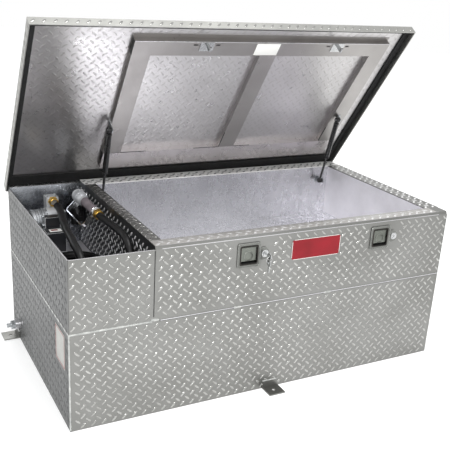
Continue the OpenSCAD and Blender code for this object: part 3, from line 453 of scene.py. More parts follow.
floor_mesh = bpy.data.meshes.new("studio_floor")
bm = bmesh.new()
bmesh.ops.create_circle(bm, cap_ends=True, segments=96, radius=14)
bm.to_mesh(floor_mesh)
bm.free()
studio_floor = bpy.data.objects.new("studio_floor", floor_mesh)
studio_floor.location.z = -0.5 * MM
scene.collection.objects.link(studio_floor)
floor_mesh.materials.append(coated("pale_studio_floor", "F2F3F3", "F5F5F5", (0.6, 0.8), 1667, 16.7,
                                   Emission_Color=linear("FFFFFF"), Emission_Strength=0.25))

# Hose: one length from the pump's fitting to the nozzle's swivel, by way of a coil of turns on the deck.
# Points are distances from the left end, from the front and from the deck

COIL_R, COIL_X, COIL_BACK, COIL_FRONT = 93.5, 168.5, 475.0, 302.0
LOW, HIGH = 14.0, 41.3
HOSE_D = 27 * MM


def half_turn(cy, a0, a1, z0, z1, n=13):
    """Half a turn of the coil from angle a0 to a1, which climbs softly from z0 to z1."""
    level = 0.08
    out = []
    for k in range(n):
        t = k / (n - 1)
        s = min(max((t - level) / (1 - 2 * level), 0), 1)
        a = a0 + (a1 - a0) * t
        climb = z0 + (z1 - z0) * s * s * (3 - 2 * s)
        out.append((COIL_X + COIL_R * math.cos(a), cy + COIL_R * math.sin(a), climb))
    return out


def upright_turn(x, cy, cz, r, flip):
    """A half circle in an upright plane, bulging to the front; from its top down, or up with flip."""
    angles = [math.radians(90 + 22.5 * k) for k in range(9)]
    points = [(x, cy + r * math.cos(a), cz + r * math.sin(a)) for a in angles]
    return points[::-1] if flip else points


hose_points = (
    [(135, 602, 232), (135, 580, 232), (131, 545, 231.5), (120, 480, 230.5), (108, 420, 230)]
    + [(99, 360, 229.5), (91, 300, 229), (85, 240, 228.5)] + upright_turn(78, 185, 121, 107, False)
    + [(75, y, LOW) for y in (240, 300, 360, 420)] + half_turn(COIL_BACK, math.pi, 0, LOW, LOW)
    + [(262, y, LOW) for y in (430, 390, 350)] + half_turn(COIL_FRONT, 0, -math.pi, LOW, HIGH)
    + [(75, y, HIGH) for y in (350, 390, 430)] + half_turn(COIL_BACK, math.pi, 0, HIGH, HIGH)
    + [(262, y, HIGH) for y in (430, 380, 330, 280)]
    + upright_turn(261.5, 236.4, 135.65, 94.35, True)
    + [(259, 300, 230.5), (256, 350, 230.5), (252.5, 400, 230.3), (250, 430, 230), (250, 450, 230)])
hose_line = catmull(hose_points, 4)
hose_path = [(MM * (X0 + x), MM * (Y0 + y), MM * (DECK_Z + z)) for x, y, z in hose_line]
hose = from_bmesh("fuel_hose", tube_mesh(hose_path, HOSE_D / 2, 20), "tank", HOSE, "hose_pump_run",
                  "hose_nozzle_run", "hose_hank", slot="rubber")

# Tread: raised lugs on a square lattice, in two directions that alternate

PITCH, LUG_L, LUG_W, LUG_H = 36.0, 24.0, 8.6, 1.5


def lug_shape():
    """One lug along X on the plane z = 0: an ellipse that steps in twice to a crown."""
    bm = bmesh.new()
    bmesh.ops.create_circle(bm, cap_ends=True, segments=10, radius=1.0)
    bmesh.ops.scale(bm, vec=(LUG_L / 2 * MM, LUG_W / 2 * MM, 1), verts=bm.verts)
    top = bm.faces[:]
    for step, (shrink_l, shrink_w) in ((0.65, (0.9, 0.78)), (0.35, (0.72, 0.5))):
        made = bmesh.ops.extrude_face_region(bm, geom=top)["geom"]
        top = [f for f in made if isinstance(f, bmesh.types.BMFace)]
        ring = [p for p in made if isinstance(p, bmesh.types.BMVert)]
        bmesh.ops.translate(bm, vec=(0, 0, LUG_H * MM * step), verts=ring)
        bmesh.ops.scale(bm, vec=(shrink_l, shrink_w, 1), verts=ring)
    below = [f for f in bm.faces if f not in top and len(f.verts) > 4]
    bmesh.ops.delete(bm, geom=below, context="FACES_ONLY")
    bmesh.ops.triangulate(bm, faces=bm.faces[:])
    bmesh.ops.recalc_face_normals(bm, faces=bm.faces)
    bm.verts.ensure_lookup_table()
    verts = np.array([p.co[:] for p in bm.verts])
    faces = np.array([[p.index for p in f.verts] for f in bm.faces])
    a, b, c = verts[faces[:, 0]], verts[faces[:, 1]], verts[faces[:, 2]]
    if np.cross(b - a, c - a)[:, 2].sum() < 0:
        faces = faces[:, ::-1]
    bm.free()
    return verts, faces


LUG_VERTS, LUG_FACES = lug_shape()


def lug_sites(width, height, phase, margin=10.0, skip=()):
    """Centres and angles of the lugs on a panel, clear of its edges and of the rectangles to skip."""
    near = 9.0
    sites = []
    for angle, offset in ((45, 0), (-45, PITCH / 2)):
        for i in range(-1, int(width / PITCH) + 2):
            for j in range(-1, int(height / PITCH) + 2):
                a, b = i * PITCH + offset + phase[0], j * PITCH + offset + phase[1]
                if not (margin <= a <= width - margin and margin <= b <= height - margin):
                    continue
                if any(l - near < a < r + near and d - near < b < t + near for l, d, r, t in skip):
                    continue
                sites.append((a, b, math.radians(angle)))
    return sites


def tread(name, corner, along, up, sites, body, material, matrix=None, rise=1.0):
    """One panel's lugs as one piece. corner, along and up place the panel; its outside is along x up."""
    along, up = np.array(along, float), np.array(up, float)
    out = np.cross(along, up)
    basis = np.array([along, up, out])
    verts, faces = [], []
    for k, (a, b, w) in enumerate(sites):
        turn = np.array([[math.cos(w), math.sin(w), 0], [-math.sin(w), math.cos(w), 0], [0, 0, 1]])
        local = LUG_VERTS * (1, 1, rise) @ turn + np.array([a, b, 0]) * MM
        verts.append(local @ basis + np.array(corner) * MM)
        faces.append(LUG_FACES + k * len(LUG_VERTS))
    verts = np.vstack(verts)
    if matrix is not None:
        m = np.array(matrix)
        verts = verts @ m[:3, :3].T + m[:3, 3]
    mesh = bpy.data.meshes.new(name)
    mesh.from_pydata(verts.tolist(), [], np.vstack(faces).tolist())
    new_object(name, mesh, body, material, slot="tread_aluminium")
    mesh.set_sharp_from_angle(angle=math.radians(50))


# The closed lid's frame turned to where the lid stands open
LID = (Matrix.Translation(v(0, HINGE_Y, HINGE_Z)) @ Matrix.Rotation(math.radians(-LID_OPEN), 4, "X")
       @ Matrix.Translation(v(0, -HINGE_Y, -HINGE_Z)))

length, depth = X1 - X0, Y1 - Y0
lid_l, lid_d = 2 * LID_X, LID_Y1 - LID_Y0
seam = PART_X - X0
ALONG, ACROSS, UPRIGHT = (1, 0, 0), (0, 1, 0), (0, 0, 1)

# Where the tread was ground off or is covered: the latches, the badge, the end's plate, drain and tabs
LATCH_HALF, LATCH_REACH, BADGE_REACH, BADGE_RISE = 48.0, 86.0, 104.0, 38.0
badge_x, badge_z = BADGE_X - X0, BADGE_Z - DECK_Z
latch_z = LATCH_Z - DECK_Z
front_skips = [(x - X0 - LATCH_HALF, latch_z - LATCH_HALF, x - X0 + LATCH_REACH, latch_z + LATCH_HALF)
               for x in LATCH_X]
front_skips.append((badge_x - BADGE_REACH, badge_z - BADGE_RISE, badge_x + BADGE_REACH, badge_z + BADGE_RISE))
left_skips = [(depth - 155, 200, depth - 44, 340), (78, 40, 124, 92), (0, 0, 70, 34)]
right_skips = [(0, 590, 55, 620), (depth - 70, 0, depth, 34)]

tread("tread_front_low", (X0, Y0, 0), ALONG, UPRIGHT, lug_sites(length, DECK_Z - 6, (8, 14)), "tank", LUG)
tread("tread_front_compartment", (X0, Y0, DECK_Z), ALONG, UPRIGHT,
      lug_sites(seam - 4, TANK_H - DECK_Z, (14, 20)), "tank", LUG)
toolbox_sites = lug_sites(length, TANK_H - DECK_Z, (20, 6), skip=front_skips)
tread("tread_front_toolbox", (X0, Y0, DECK_Z), ALONG, UPRIGHT,
      [site for site in toolbox_sites if site[0] > seam + 14], "tank", LUG)
tread("tread_left_end", (X0, Y1, 0), (0, -1, 0), UPRIGHT,
      lug_sites(depth, TANK_H, (12, 16), skip=left_skips), "tank", LUG_PAINTED_SHADE)
tread("tread_right_end", (X1, Y0, 0), ACROSS, UPRIGHT,
      lug_sites(depth, 606, (16, 10), skip=right_skips), "tank", LUG)
tread("tread_back", (X1, Y1, 0), (-1, 0, 0), UPRIGHT, lug_sites(length, 556, (10, 12)), "tank", LUG)
tread("tread_partition_side", (PART_X, Y1 - SHEET, DECK_Z), (0, -1, 0), UPRIGHT,
      lug_sites(depth - 10, 258, (14, 16), skip=[(30, 95, 68, 170)]), "tank", LUG_PAINTED_HIGHLIGHT)

# Under the lid's gasket the lugs are rolled nearly flat
RIM_RISE, RIM_MARGIN = 0.25, 9.0
tread("tread_partition_cap", (PART_X, TUB_Y0, RIM_Z), ALONG, ACROSS,
      lug_sites(TUB_X0 - PART_X, TUB_Y1 - TUB_Y0, (12, 14), RIM_MARGIN), "tank", LUG)
tread("tread_front_rim", (PART_X, Y0 + 5, RIM_Z), ALONG, ACROSS,
      lug_sites(X1 - PART_X - 48, TUB_Y0 - Y0 - 5, (16, 14), RIM_MARGIN), "tank", LUG_PAINTED_HIGHLIGHT, rise=RIM_RISE)
tread("tread_rear_rim", (PART_X, TUB_Y1, RIM_Z), ALONG, ACROSS,
      lug_sites(X1 - PART_X, Y1 - TUB_Y1, (10, 16), RIM_MARGIN), "tank", LUG_PAINTED_SHADE, rise=RIM_RISE)
tread("tread_right_rim", (TUB_X1, TUB_Y0, RIM_Z), ALONG, ACROSS,
      lug_sites(X1 - TUB_X1, TUB_Y1 - TUB_Y0, (14, 12), RIM_MARGIN), "tank", LUG_PAINTED_HIGHLIGHT, rise=RIM_RISE)

tread("tread_lid_top", (-LID_X, LID_Y0, LID_TOP), ALONG, ACROSS, lug_sites(lid_l, lid_d, (14, 10)),
      "lid", LUG, matrix=LID)
lid_sides = {"front": ((-LID_X, LID_Y0), ALONG, lid_l), "back": ((LID_X, LID_Y1), (-1, 0, 0), lid_l),
             "left": ((-LID_X, LID_Y1), (0, -1, 0), lid_d), "right": ((LID_X, LID_Y0), ACROSS, lid_d)}
for name, (corner, along, width) in lid_sides.items():
    tread("tread_lid_" + name, (*corner, FLANGE_Z), along, UPRIGHT, lug_sites(width, LID_FLANGE, (14, 17)),
          "lid", LUG, matrix=LID)

# The lid's inner skin: bright sheet with the lugs' faint print
INNER_X, INNER_Y0, INNER_Y1, SKIN = 742.0, -387.0, 355.0, 0.4
bm = bmesh.new()
box_into(bm, (0, (INNER_Y0 + INNER_Y1) / 2, LID_UNDER - SKIN / 2), (2 * INNER_X, INNER_Y1 - INNER_Y0, SKIN))
bmesh.ops.transform(bm, matrix=LID, verts=bm.verts)
from_bmesh("lid_inner_skin", bm, "lid", INNER, slot="tread_aluminium")
tread("lid_inner_lug_print", (-INNER_X, INNER_Y1, LID_UNDER - 0.38), ALONG, (0, -1, 0),
      lug_sites(2 * INNER_X, INNER_Y1 - INNER_Y0, (0, 8)), "lid", PRINT, matrix=LID, rise=0.3)

# Seams, welds, edges and plates on the walls


def strip(name, boxes, body, material, bevel=0.6, matrix=None, slot="smooth_aluminium", segments=2):
    """One piece made of rounded bars, each given as (centre, size) in millimetres."""
    bm = bmesh.new()
    for centre, dims in boxes:
        box_into(bm, centre, dims, bevel, segments=segments)
    if matrix is not None:
        bmesh.ops.transform(bm, matrix=matrix, verts=bm.verts)
    return from_bmesh(name, bm, body, material, slot=slot)


def ball():
    """A small ball of radius 1, as arrays of its points and triangles."""
    bm = bmesh.new()
    bmesh.ops.create_uvsphere(bm, u_segments=8, v_segments=5, radius=1.0)
    bmesh.ops.triangulate(bm, faces=bm.faces[:])
    bm.verts.ensure_lookup_table()
    verts = np.array([p.co[:] for p in bm.verts])
    faces = np.array([[p.index for p in f.verts] for f in bm.faces])
    bm.free()
    return verts, faces


BALL = ball()


RIPPLE_PITCH, RIPPLE_L, RIPPLE_SCATTER = 3.2, 2.6, 0.12


def bead(name, start, end, radius, flat=0.45, out=(0, -1, 0)):
    """A weld bead: overlapping ripples from start to end, flattened along its outward direction."""
    start, end = np.array(start, float), np.array(end, float)
    out = np.array(out, float) / np.linalg.norm(out)
    span = end - start
    bead_l = np.linalg.norm(span)
    along = span / bead_l
    across = np.cross(along, out)
    count = max(2, int(bead_l / RIPPLE_PITCH))
    rng = np.random.default_rng(int(abs(start[0]) + abs(end[2]) + radius * 10))
    verts, faces = [], []
    for k in range(count + 1):
        wide = radius * (1 + RIPPLE_SCATTER * rng.standard_normal())
        basis = np.array([along * RIPPLE_L, across * wide, out * wide * flat])
        verts.append(BALL[0] @ basis + start + span * k / count)
        faces.append(BALL[1] + k * len(BALL[0]))
    mesh = bpy.data.meshes.new(name)
    mesh.from_pydata((np.vstack(verts) * MM).tolist(), [], np.vstack(faces).tolist())
    new_object(name, mesh, "tank", WELD, slot="smooth_aluminium")


# The toolbox front's folded foot, in three lengths between its tack welds, in the lighter mill sheet as
# painted highlight, and a dark strip below it as painted shadow
TACKS = ((-172, -148), (208, 232))
FOLDS = ((-452, TACKS[0][0]), (TACKS[0][1], TACKS[1][0]), (TACKS[1][1], 760))
strip("toolbox_front_lower_fold",
      [(((a + b) / 2, Y0 - 0.9, DECK_Z + 1.4), (b - a, 2.2, 3.2)) for a, b in FOLDS], "tank", MILL, 0.9)
strip("toolbox_front_lower_painted_shadow", [((152, Y0 - 0.15, DECK_Z - 1.5), (1216, 0.7, 1.6))], "tank", SHADE_SHEET, 0.2,
      slot="tread_aluminium")
# A dark strip in the partition's seam, as painted shade
strip("partition_seam_painted_shade", [((PART_X - 1.2, Y0 - 0.15, 489), (2.2, 0.7, 234))], "tank", SHADE_SHEET, 0.2,
      slot="tread_aluminium")
strip("partition_seam_fold", [((PART_X + 1.2, Y0 - 0.7, 489), (2.4, 1.8, 236))], "tank", TREAD, 0.8)
bead("weld_front_left", (X0 + 4, Y0, DECK_Z), (PART_X - 8, Y0, DECK_Z), 4.2)
bead("weld_seam_foot", (PART_X - 8, Y0, DECK_Z + 6), (PART_X + 16, Y0, DECK_Z + 4), 6.0, flat=0.35)
for side, (a, b) in zip(("left", "right"), TACKS):
    bead("weld_tack_" + side, (a, Y0, DECK_Z + 0.5), (b, Y0, DECK_Z + 0.5), 4.4)
bead("weld_corner_low", (X0 + 0.5, Y0 + 0.5, 6), (X0 + 0.5, Y0 + 0.5, DECK_Z), 3.2, out=(-0.707, -0.707, 0))
bead("weld_corner_right", (X1 - 0.5, Y0 + 0.5, 6), (X1 - 0.5, Y0 + 0.5, 600), 2.6, out=(0.707, -0.707, 0))
bead("weld_right_deck", (X1, Y0 + 6, DECK_Z), (X1, Y1 - 6, DECK_Z), 3.6, out=(1, 0, 0))
bead("weld_left_deck", (X0, Y0 + 6, DECK_Z), (X0, Y1 - 6, DECK_Z), 3.6, out=(-1, 0, 0))
bead("weld_back_deck", (X0 + 6, Y1, DECK_Z), (X1 - 6, Y1, DECK_Z), 3.6, out=(0, 1, 0))
# One bead along the top of each mounting tab
TAB_Y, TAB_TOP, TAB_HALF = 340.4, 30.5, 31.0
tabs = {"front": ((0, Y0), ALONG, (0, -1, 0)), "left": ((X0, TAB_Y), ACROSS, (-1, 0, 0)),
        "right": ((X1, TAB_Y), ACROSS, ALONG)}
for side, (place, along, out) in tabs.items():
    middle = Vector((*place, TAB_TOP)) + Vector(out) * 2
    reach = Vector(along) * TAB_HALF
    bead("weld_tab_" + side, middle - reach, middle + reach, 3.2, out=Vector(out) + Vector(UPRIGHT))

# The bend at the compartment's left front corner
BEND_R, BEND_IN = 3.6, 3.3
bm = bmesh.new()
bend = bmesh.ops.create_cone(bm, cap_ends=True, segments=24, radius1=BEND_R * MM, radius2=BEND_R * MM,
                             depth=(TANK_H - DECK_Z - 3) * MM)["verts"]
bmesh.ops.translate(bm, vec=v(X0 + BEND_IN, Y0 + BEND_IN, (TANK_H + DECK_Z) / 2), verts=bend)
from_bmesh("corner_bend_left", bm, "tank", TREAD, slot="tread_aluminium")

# The right front corner: a small plate closes the notch over the end wall
bm = bmesh.new()
notch = [bm.verts.new(v(X1 - 2.6, y, z)) for y, z in ((Y0 + 3.4, 606.6), (Y0 + 47, 616.6), (Y0 + 7.6, 616.6))]
face = bm.faces.new(notch)
pushed = bmesh.ops.extrude_face_region(bm, geom=[face])["geom"]
outer = [p for p in pushed if isinstance(p, bmesh.types.BMVert)]
bmesh.ops.translate(bm, vec=v(1.4, 0, 0), verts=outer)
from_bmesh("corner_notch_plate", bm, "tank", TREAD, slot="tread_aluminium")

# Lighter strips of mill sheet along the plates' top edges, as painted highlight
EDGE_IN, EDGE_Z, COMP_MID = 1.6, TANK_H + 0.3, X0 + 143
strip("left_end_top_edge", [((X0 + EDGE_IN, 0, EDGE_Z), (3.6, 806, 1.2))], "tank", MILL, 0.4)
strip("compartment_front_top_edge", [((COMP_MID, Y0 + EDGE_IN, EDGE_Z), (282, 3.6, 1.2))], "tank", MILL, 0.4)
strip("compartment_back_top_edge", [((COMP_MID, Y1 - EDGE_IN, EDGE_Z), (280, 3.4, 1.2))], "tank", MILL, 0.4)

# Thin sheets that give a face another tone: the partition's cap in the plain plate tone over the partition's
# painted shade, the front rim in its lighter copy as painted light, and the compartment's back lining; and
# lighter lines along the toolbox front's two bends, as painted highlight
strip("partition_cap_plate", [(((PART_X + TUB_X0) / 2, (TUB_Y0 + TUB_Y1) / 2, RIM_Z + 0.15),
                               (TUB_X0 - PART_X - 1, TUB_Y1 - TUB_Y0 - 2, 0.3))],
      "tank", TREAD, 0.1, slot="tread_aluminium")
strip("toolbox_front_rim_plate", [((PART_X + 594, (Y0 + 7 + TUB_Y0) / 2, RIM_Z + 0.03),
                                   (1184, TUB_Y0 - Y0 - 7, 0.12))],
      "tank", RIM_FRONT, 0.02, slot="tread_aluminium")
strip("compartment_back_lining", [(((X0 + PART_X) / 2 + 1.6, Y1 - SHEET - 0.2, (DECK_Z + TANK_H) / 2),
                                   (PART_X - X0 - 3.4, 0.3, TANK_H - DECK_Z - 2))], "tank", LINING, 0.1)
BEND_MID, BEND_L = 133, 1170
strip("toolbox_front_bend_lines", [((BEND_MID, Y0 + 0.9, TANK_H + 0.6), (BEND_L, 2.0, 2.4)),
                                   ((BEND_MID, Y0 + 6.2, RIM_Z - 0.5), (BEND_L, 2.4, 1.6))],
      "tank", MILL, 0.7)

# Bare plates: the data plate on the left end with its red border, and the badge's light rim
PLATE_Y, PLATE_Z, BORDER_X = Y0 + 99.5, 270.0, X0 - 1.5
strip("end_data_plate", [((X0 - 0.7, PLATE_Y, PLATE_Z), (1.4, 108, 128))], "tank", PLATE, 0.5)
strip("end_data_plate_border",
      [((BORDER_X, PLATE_Y, PLATE_Z + d), (0.5, 100, 2.4)) for d in (-59, 59)]
      + [((BORDER_X, PLATE_Y + d, PLATE_Z), (0.5, 2.4, 120)) for d in (-49, 49)],
      "tank", RED, 0.15, slot="badge_red")
badge_side, badge_edge = BADGE_W / 2 + 0.1, BADGE_H / 2 + 0.2
strip("badge_rim",
      [((BADGE_X, Y0 - 1.4, BADGE_Z + d), (192, 1.6, 1.6)) for d in (-badge_edge, badge_edge)]
      + [((BADGE_X + d, Y0 - 1.4, BADGE_Z), (1.6, 1.6, 60)) for d in (-badge_side, badge_side)],
      "tank", LABEL, 0.5, slot="badge_red")

# The lid's rails: a lighter line along the front rail's bend as painted highlight, dark strips as painted
# shade where rails meet and on the left rail's outer leg, and a bare label
RAIL_X0, RAIL_X1, RAIL_Y0, RAIL_Y1, RAIL_Z, CROSS_W = -404.7, 686.0, -344.4, 230.6, LID_UNDER - 22, 70.0
mid_x0 = (RAIL_X0 + RAIL_X1 - CROSS_W) / 2
strip("front_rail_bend_line",
      [(((RAIL_X0 + RAIL_X1) / 2, RAIL_Y0 + 0.8, RAIL_Z + 0.8), (RAIL_X1 - RAIL_X0, 2.6, 2.6))],
      "lid", MILL, 0.9, matrix=LID)
strip("rail_joint_painted_shade",
      [((RAIL_X0 + CROSS_W + 55, RAIL_Y1 - 0.4, RAIL_Z + 0.6), (110, 2.0, 2.2)),
       ((RAIL_X0 + CROSS_W / 2, RAIL_Y1 - 0.4, RAIL_Z - 0.1), (CROSS_W - 4, 1.6, 0.6)),
       ((mid_x0 - 60, RAIL_Y1 - 0.4, RAIL_Z + 0.6), (118, 2.0, 2.2)),
       ((mid_x0 + CROSS_W + 40, RAIL_Y1 - 0.4, RAIL_Z + 0.6), (78, 2.0, 2.2)),
       ((mid_x0 - 0.4, RAIL_Y1 - 45, RAIL_Z + 1.4), (2.0, 86, 3.4)),
       ((RAIL_X1 - CROSS_W - 0.4, RAIL_Y1 - 45, RAIL_Z + 1.4), (2.0, 86, 3.4))],
      "lid", SHADE_SHEET, 0.3, matrix=LID)
strip("rail_corner_shadow_gap", [((RAIL_X0 - 0.4, RAIL_Y0 + 32, RAIL_Z + 10), (1.2, 62, 18))],
      "lid", SHADE_SHEET, 0.3, matrix=LID)
strip("front_rail_label", [((124, -312, RAIL_Z - 0.5), (100, 54, 0.8))], "lid", LABEL, 0.2, matrix=LID)

# Latches: a dark sheet in each dish as painted shade, near-black window trim as painted shade, and a finger
# pad on each paddle


def square_loop(x, z, side, r):
    """The points of a square with round corners, seven to a corner."""
    out = []
    reach = side / 2 - r
    for cx, cz, start in ((1, 1, 0), (-1, 1, 90), (-1, -1, 180), (1, -1, 270)):
        for a in range(start, start + 91, 15):
            w = math.radians(a)
            out.append((x + cx * reach + r * math.cos(w), z + cz * reach + r * math.sin(w)))
    return out


def rounded_frame(bm, x, z, outer, inner, y0, y1, radius=6.0):
    """A rounded square ring in the X and Z plane, from y0 back to y1, its front edges broken by 0.8 mm."""
    edge = 0.8
    section = ((outer, radius, y1), (outer, radius, y0 + edge), (outer - 2 * edge, radius - edge, y0),
               (inner + 2 * edge, radius - 1.4, y0), (inner, radius - 2, y0 + edge), (inner, radius - 2, y1))
    rings = [[bm.verts.new(v(px, y, pz)) for px, pz in square_loop(x, z, side, r)] for side, r, y in section]
    for a, b in zip(rings, rings[1:] + rings[:1]):
        for k in range(len(a)):
            m = (k + 1) % len(a)
            bm.faces.new((a[k], a[m], b[m], b[k]))


PAD_PROFILE = [(0, 3.6), (9, 3.4), (13.5, 2.4), (15.6, 0.6), (16.3, 0.4), (16.6, 1.4), (17.4, 1.6),
               (18.4, 0.9), (18.6, 0.2)]
COLLAR_PROFILE = [(9.3, 0.0), (9.3, 2.2), (10, 2.9), (12.4, 2.9), (13.4, 2.2), (14, 0.2)]
TO_FRONT = (0, -1, 0)

for side, x in zip(("left", "right"), LATCH_X):
    bm = bmesh.new()
    rounded_frame(bm, x, LATCH_Z, 71.0, 62.0, Y0 - 4.6, Y0 - 2.4)
    from_bmesh("latch_%s_window_trim" % side, bm, "tank", SHADOW_STEEL, slot="polished_steel")
    bm = bmesh.new()
    rounded_frame(bm, x, LATCH_Z, 90.6, 84.5, Y0 - 4.2, Y0 - 2.6, 9.0)
    from_bmesh("latch_%s_rolled_edge" % side, bm, "tank", LATCH, slot="polished_steel")
    strip("latch_%s_dish_painted_shade" % side, [((x, Y0 + 21.8, LATCH_Z), (61, 0.8, 61)),
                                          ((x, Y0 + 10, LATCH_Z - 31.6), (60, 20, 0.6))],
          "tank", SHADE_SHEET, 0.2, slot="polished_steel")
    bm = bmesh.new()
    lathe_into(bm, PAD_PROFILE, at(x, Y0 + 1.7, LATCH_Z - 4, TO_FRONT), 40)
    from_bmesh("paddle_%s_pad" % side, bm, side + "_paddle", PADDLE, slot="polished_steel")
    bm = bmesh.new()
    lathe_into(bm, COLLAR_PROFILE, at(x + LOCK_OFF, Y0 - 3, LATCH_Z, TO_FRONT), 40)
    from_bmesh("lock_%s_collar" % side, bm, "tank", STAINLESS, slot="polished_steel")

# Pump: dark covers on the castings, screws, bolts, a blank label, and brass at the outlet

PUMP_Y, PUMP_Z = 233.6, 520.0


def screws(name, places, axis, radius, height, material=ZINC, sides=24, slot="zinc_steel"):
    """Pan heads, or hexagon heads with sides=6, at several places on one face."""
    if sides == 6:
        profile = [(0, height), (radius * 0.9, height), (radius, height * 0.8), (radius, 0)]
    else:
        profile = [(0, height), (radius * 0.55, height * 0.95), (radius * 0.9, height * 0.6), (radius, 0)]
    bm = bmesh.new()
    for place in places:
        lathe_into(bm, profile, at(*place, axis), sides)
    from_bmesh(name, bm, "tank", material, slot=slot, sharp=40)


def round_shaft(radius, angles):
    """Points round the pump's shaft, as (y, z), at angles in radians."""
    return [(PUMP_Y + radius * math.cos(w), PUMP_Z + radius * math.sin(w)) for w in angles]


SWITCH_Y, LOWER_Y = 168.4, 116.6
strip("pump_switch_cover", [((-656.5, SWITCH_Y, 527), (56.4, 38.6, 63.4))],
      "tank", COVER, 3.0, slot="cast_aluminium", segments=4)
strip("pump_lower_cover", [((-660, LOWER_Y, 482), (71.4, 67.4, 77.4))],
      "tank", COVER, 4.0, slot="cast_aluminium", segments=4)
screws("pump_cover_screws", [(-657 + dx, SWITCH_Y + dy, 558.7) for dx in (-23, 23) for dy in (-14, 14)]
       + [(-660 + dx, LOWER_Y + dy, 520.7) for dx in (-29, 29) for dy in (-27, 27)], UPRIGHT, 3.2, 2.0)
strip("pump_cover_label", [((-658, 112, 521.0), (44, 30, 0.6))], "tank", LABEL, 0.2, slot="cast_aluminium")
strip("pump_cover_label_bar", [((-661, 114, 521.5), (24, 11, 0.4))], "tank", RED, 0.1, slot="cast_aluminium")
bolts = round_shaft(43, [math.radians(a) for a in range(0, 360, 60)])
screws("pump_housing_bolts", [(-595.6, y, z) for y, z in bolts], (1, 0, 0), 5.0, 4.0, sides=6)
motor_screws = round_shaft(33, (0.8, 2.4, 3.9, 5.5))
screws("pump_motor_screws", [(-719.5, y, z) for y, z in motor_screws], (-1, 0, 0), 3.4, 3.0)
bm = bmesh.new()
lathe_into(bm, [(46.2, 0), (47.4, 0.6), (47.4, 5.4), (46.2, 6)], at(-675, PUMP_Y, PUMP_Z, (-1, 0, 0)), 64)
box_into(bm, (-678, PUMP_Y, PUMP_Z + 49), (6, 12, 5), 1.0)
from_bmesh("pump_motor_band", bm, "tank", ZINC, slot="cast_aluminium")
bm = bmesh.new()
lathe_into(bm, [(0, 2), (30, 2), (34, 4), (36, 4), (36, 0)], at(-597, PUMP_Y, PUMP_Z, (1, 0, 0)), 64)
rib_angles = [math.radians(a) for a in range(0, 360, 30)]
for w, (y, z) in zip(rib_angles, round_shaft(20, rib_angles)):
    box_into(bm, (-594.4, y, z), (3, 22, 2.4), 0.6, Matrix.Rotation(w, 3, "X"))
bmesh.ops.remove_doubles(bm, verts=bm.verts, dist=1e-6)
from_bmesh("pump_housing_cover", bm, "tank", CAST_LIGHT, slot="cast_aluminium")
bm = bmesh.new()
OUTLET_X, OUTLET_Z = -627, 587.6
lathe_into(bm, [(17, 0), (20.5, 1.5), (20.5, 7), (18, 8.5)], at(OUTLET_X, 256, OUTLET_Z, TO_FRONT), 6)
lathe_into(bm, [(14, 0), (17.6, 0.5), (18.2, 2), (16.4, 4), (18.0, 6), (17.8, 10), (16.0, 12), (16.6, 14),
                (16.2, 21), (13.8, 22.5)], at(OUTLET_X, 252.6, OUTLET_Z, TO_FRONT), 48)
from_bmesh("pump_outlet_brass", bm, "tank", BRASS, "pump_fitting", slot="brass", sharp=30)
screws("pump_tower_bolts", [(OUTLET_X + dx, 281 + dy, 601.4) for dx in (-16, 16) for dy in (-14, 14)],
       UPRIGHT, 4.6, 4.0, sides=6)

# Nozzle: its own frame lies along the partition, with its lever turned down to the left

NOZZLE = Matrix.Translation(v(-512, 68.6, 585.6)) @ Matrix.Rotation(math.radians(45), 4, "Y")
GRIP_L, HEAD_R = 170.0, 25.0


def on_nozzle(distance):
    """The nozzle's axis, from a distance past its hose end towards the spout."""
    return NOZZLE @ Matrix.Translation(v(0, distance, 0)) @ Matrix.Rotation(math.radians(-90), 4, "X")


def nozzle_lathe(name, profile, material, *replaced, steps=56, slot="cast_aluminium"):
    """Turned about the nozzle's axis; heights run from the hose end to the spout."""
    bm = bmesh.new()
    lathe_into(bm, profile, on_nozzle(0), steps)
    from_bmesh(name, bm, "tank", material, *replaced, slot=slot)


NUT_PROFILE = [(14, -14), (19.5, -12.5), (20.5, -9), (20.5, -3), (18.5, -0.5), (12, -0.5)]
FERRULE_PROFILE = [(13.7, -27), (15.6, -26), (16.2, -24), (15.2, -22), (16.6, -20), (17.6, -16),
                   (17.6, -14), (14, -13)]
RINGS_PROFILE = [(12, 0.2), (18.6, 0.6), (19.2, 2.5), (18.6, 4.4), (17.0, 5.4), (17.0, 7.0), (18.6, 8.0),
                 (19.4, 10), (18.6, 12), (17.0, 13), (17.0, 15), (18.8, 16), (19.2, 19), (18.2, 22),
                 (16.2, 23.5)]
SLEEVE_PROFILE = [(15, 24), (16.8, 26), (17.4, 34), (16.6, 60), (16.4, 100), (17.2, 134), (18.6, 146),
                  (17.6, 150), (15.5, 150.5)]
nozzle_lathe("nozzle_swivel_nut", NUT_PROFILE, BRASS, "nozzle_swivel", steps=6, slot="brass")
nozzle_lathe("nozzle_swivel_ferrule", FERRULE_PROFILE, BRASS, slot="brass")
nozzle_lathe("nozzle_chrome_rings", RINGS_PROFILE, CHROME)
nozzle_lathe("nozzle_grip_sleeve", SLEEVE_PROFILE, SLEEVE, slot="black_plastic")
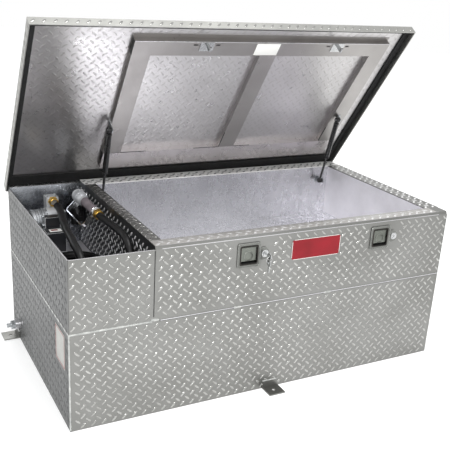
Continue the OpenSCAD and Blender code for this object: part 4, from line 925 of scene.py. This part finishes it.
# The head's two bands with ribs between them all round, but for its underside, where the lever's guard is
RIB_COUNT, UNDERSIDE = 22, -0.75
bm = bmesh.new()
lathe_into(bm, [(HEAD_R - 0.4, 0), (HEAD_R + 1.0, 1), (HEAD_R + 1.0, 7), (HEAD_R - 0.4, 8)],
           on_nozzle(GRIP_L + 24), 56)
lathe_into(bm, [(HEAD_R - 0.4, 0), (HEAD_R + 0.8, 1), (HEAD_R + 0.8, 5), (HEAD_R - 0.4, 6)],
           on_nozzle(GRIP_L + 62), 56)
for k in range(RIB_COUNT):
    w = 2 * math.pi * k / RIB_COUNT
    if math.sin(w) < UNDERSIDE:
        continue
    rib = box_into(bm, (0, 0, 0), (2.2, 26, 2.0), 0.6)
    seat = Matrix.Rotation(-w, 4, "Y") @ Matrix.Translation(v(HEAD_R + 0.2, GRIP_L + 47, 0))
    bmesh.ops.transform(bm, matrix=NOZZLE @ seat, verts=rib)
from_bmesh("nozzle_head_ribs", bm, "tank", CAST_LIGHT, slot="cast_aluminium")
bm = bmesh.new()
lathe_into(bm, [(0, 5), (5, 5), (6.6, 4), (6.6, 0)],
           NOZZLE @ Matrix.Translation(v(0, GRIP_L + 70, HEAD_R - 1)), 6)
lathe_into(bm, [(0, 6), (3.6, 5.6), (4.6, 4), (4.6, 0)],
           NOZZLE @ Matrix.Translation(v(0, GRIP_L + 18, HEAD_R - 2)), 24)
from_bmesh("nozzle_head_plugs", bm, "tank", CHROME, slot="polished_steel")

# Gas struts: a seal collar at the rod's end, a ring at the closed end, and clips round the ball sockets.
# The upper pivot swings with the lid about its hinge, and the lower one stands on the tub's back wall

swing = math.radians(LID_OPEN)
drop = LID_UNDER - STRUT_DROP - HINGE_Z
head_y = HINGE_Y - STRUT_ARM * math.cos(swing) + drop * math.sin(swing)
head_z = HINGE_Z + STRUT_ARM * math.sin(swing) + drop * math.cos(swing)
strut_axis = Vector((0, TUB_Y1 - STRUT_FOOT_BACK - head_y, RIM_Z - STRUT_FOOT_DROP - head_z))
strut_length = strut_axis.length
strut_axis.normalize()


def on_strut(x, distance, axis=strut_axis):
    """A place on a strut, at a distance from its upper pivot."""
    return at(x, head_y + strut_axis.y * distance, head_z + strut_axis.z * distance, axis)


SEAL_PROFILE = [(11, 0), (12.2, 0.8), (12.2, 7.0), (9, 9.5), (5.4, 10), (5.2, 9)]
CLIP_PROFILE = [(8.4, -8.4), (10.2, -8.0), (10.6, -6.6), (10.6, 6.6), (10.2, 8.0), (8.4, 8.4)]

for side, x in STRUT_X.items():
    bm = bmesh.new()
    lathe_into(bm, [(11, 0), (11.8, 0.6), (11.8, 3), (11, 3.6)], on_strut(x, 17), 40)
    lathe_into(bm, SEAL_PROFILE, on_strut(x, 182), 40)
    from_bmesh("strut_%s_seal_collar" % side, bm, "strut_%s_upper" % side, CLIP, slot="black_paint")
    for end, distance in (("upper", 0), ("lower", strut_length)):
        body = "strut_%s_%s" % (side, end)
        bm = bmesh.new()
        lathe_into(bm, CLIP_PROFILE, on_strut(x, distance, ALONG), 32)
        from_bmesh(body + "_socket_clip", bm, body, CLIP, slot="black_paint")

# Hinge: rivet heads along the leaf on the box's back

RIVET_Z, RIVET_PITCH = 573, 120
screws("hinge_back_rivets", [(x, Y1 + 1.4, RIVET_Z) for x in range(-720, 721, RIVET_PITCH)], ACROSS, 4.4, 1.6,
       STAINLESS, slot="polished_steel")
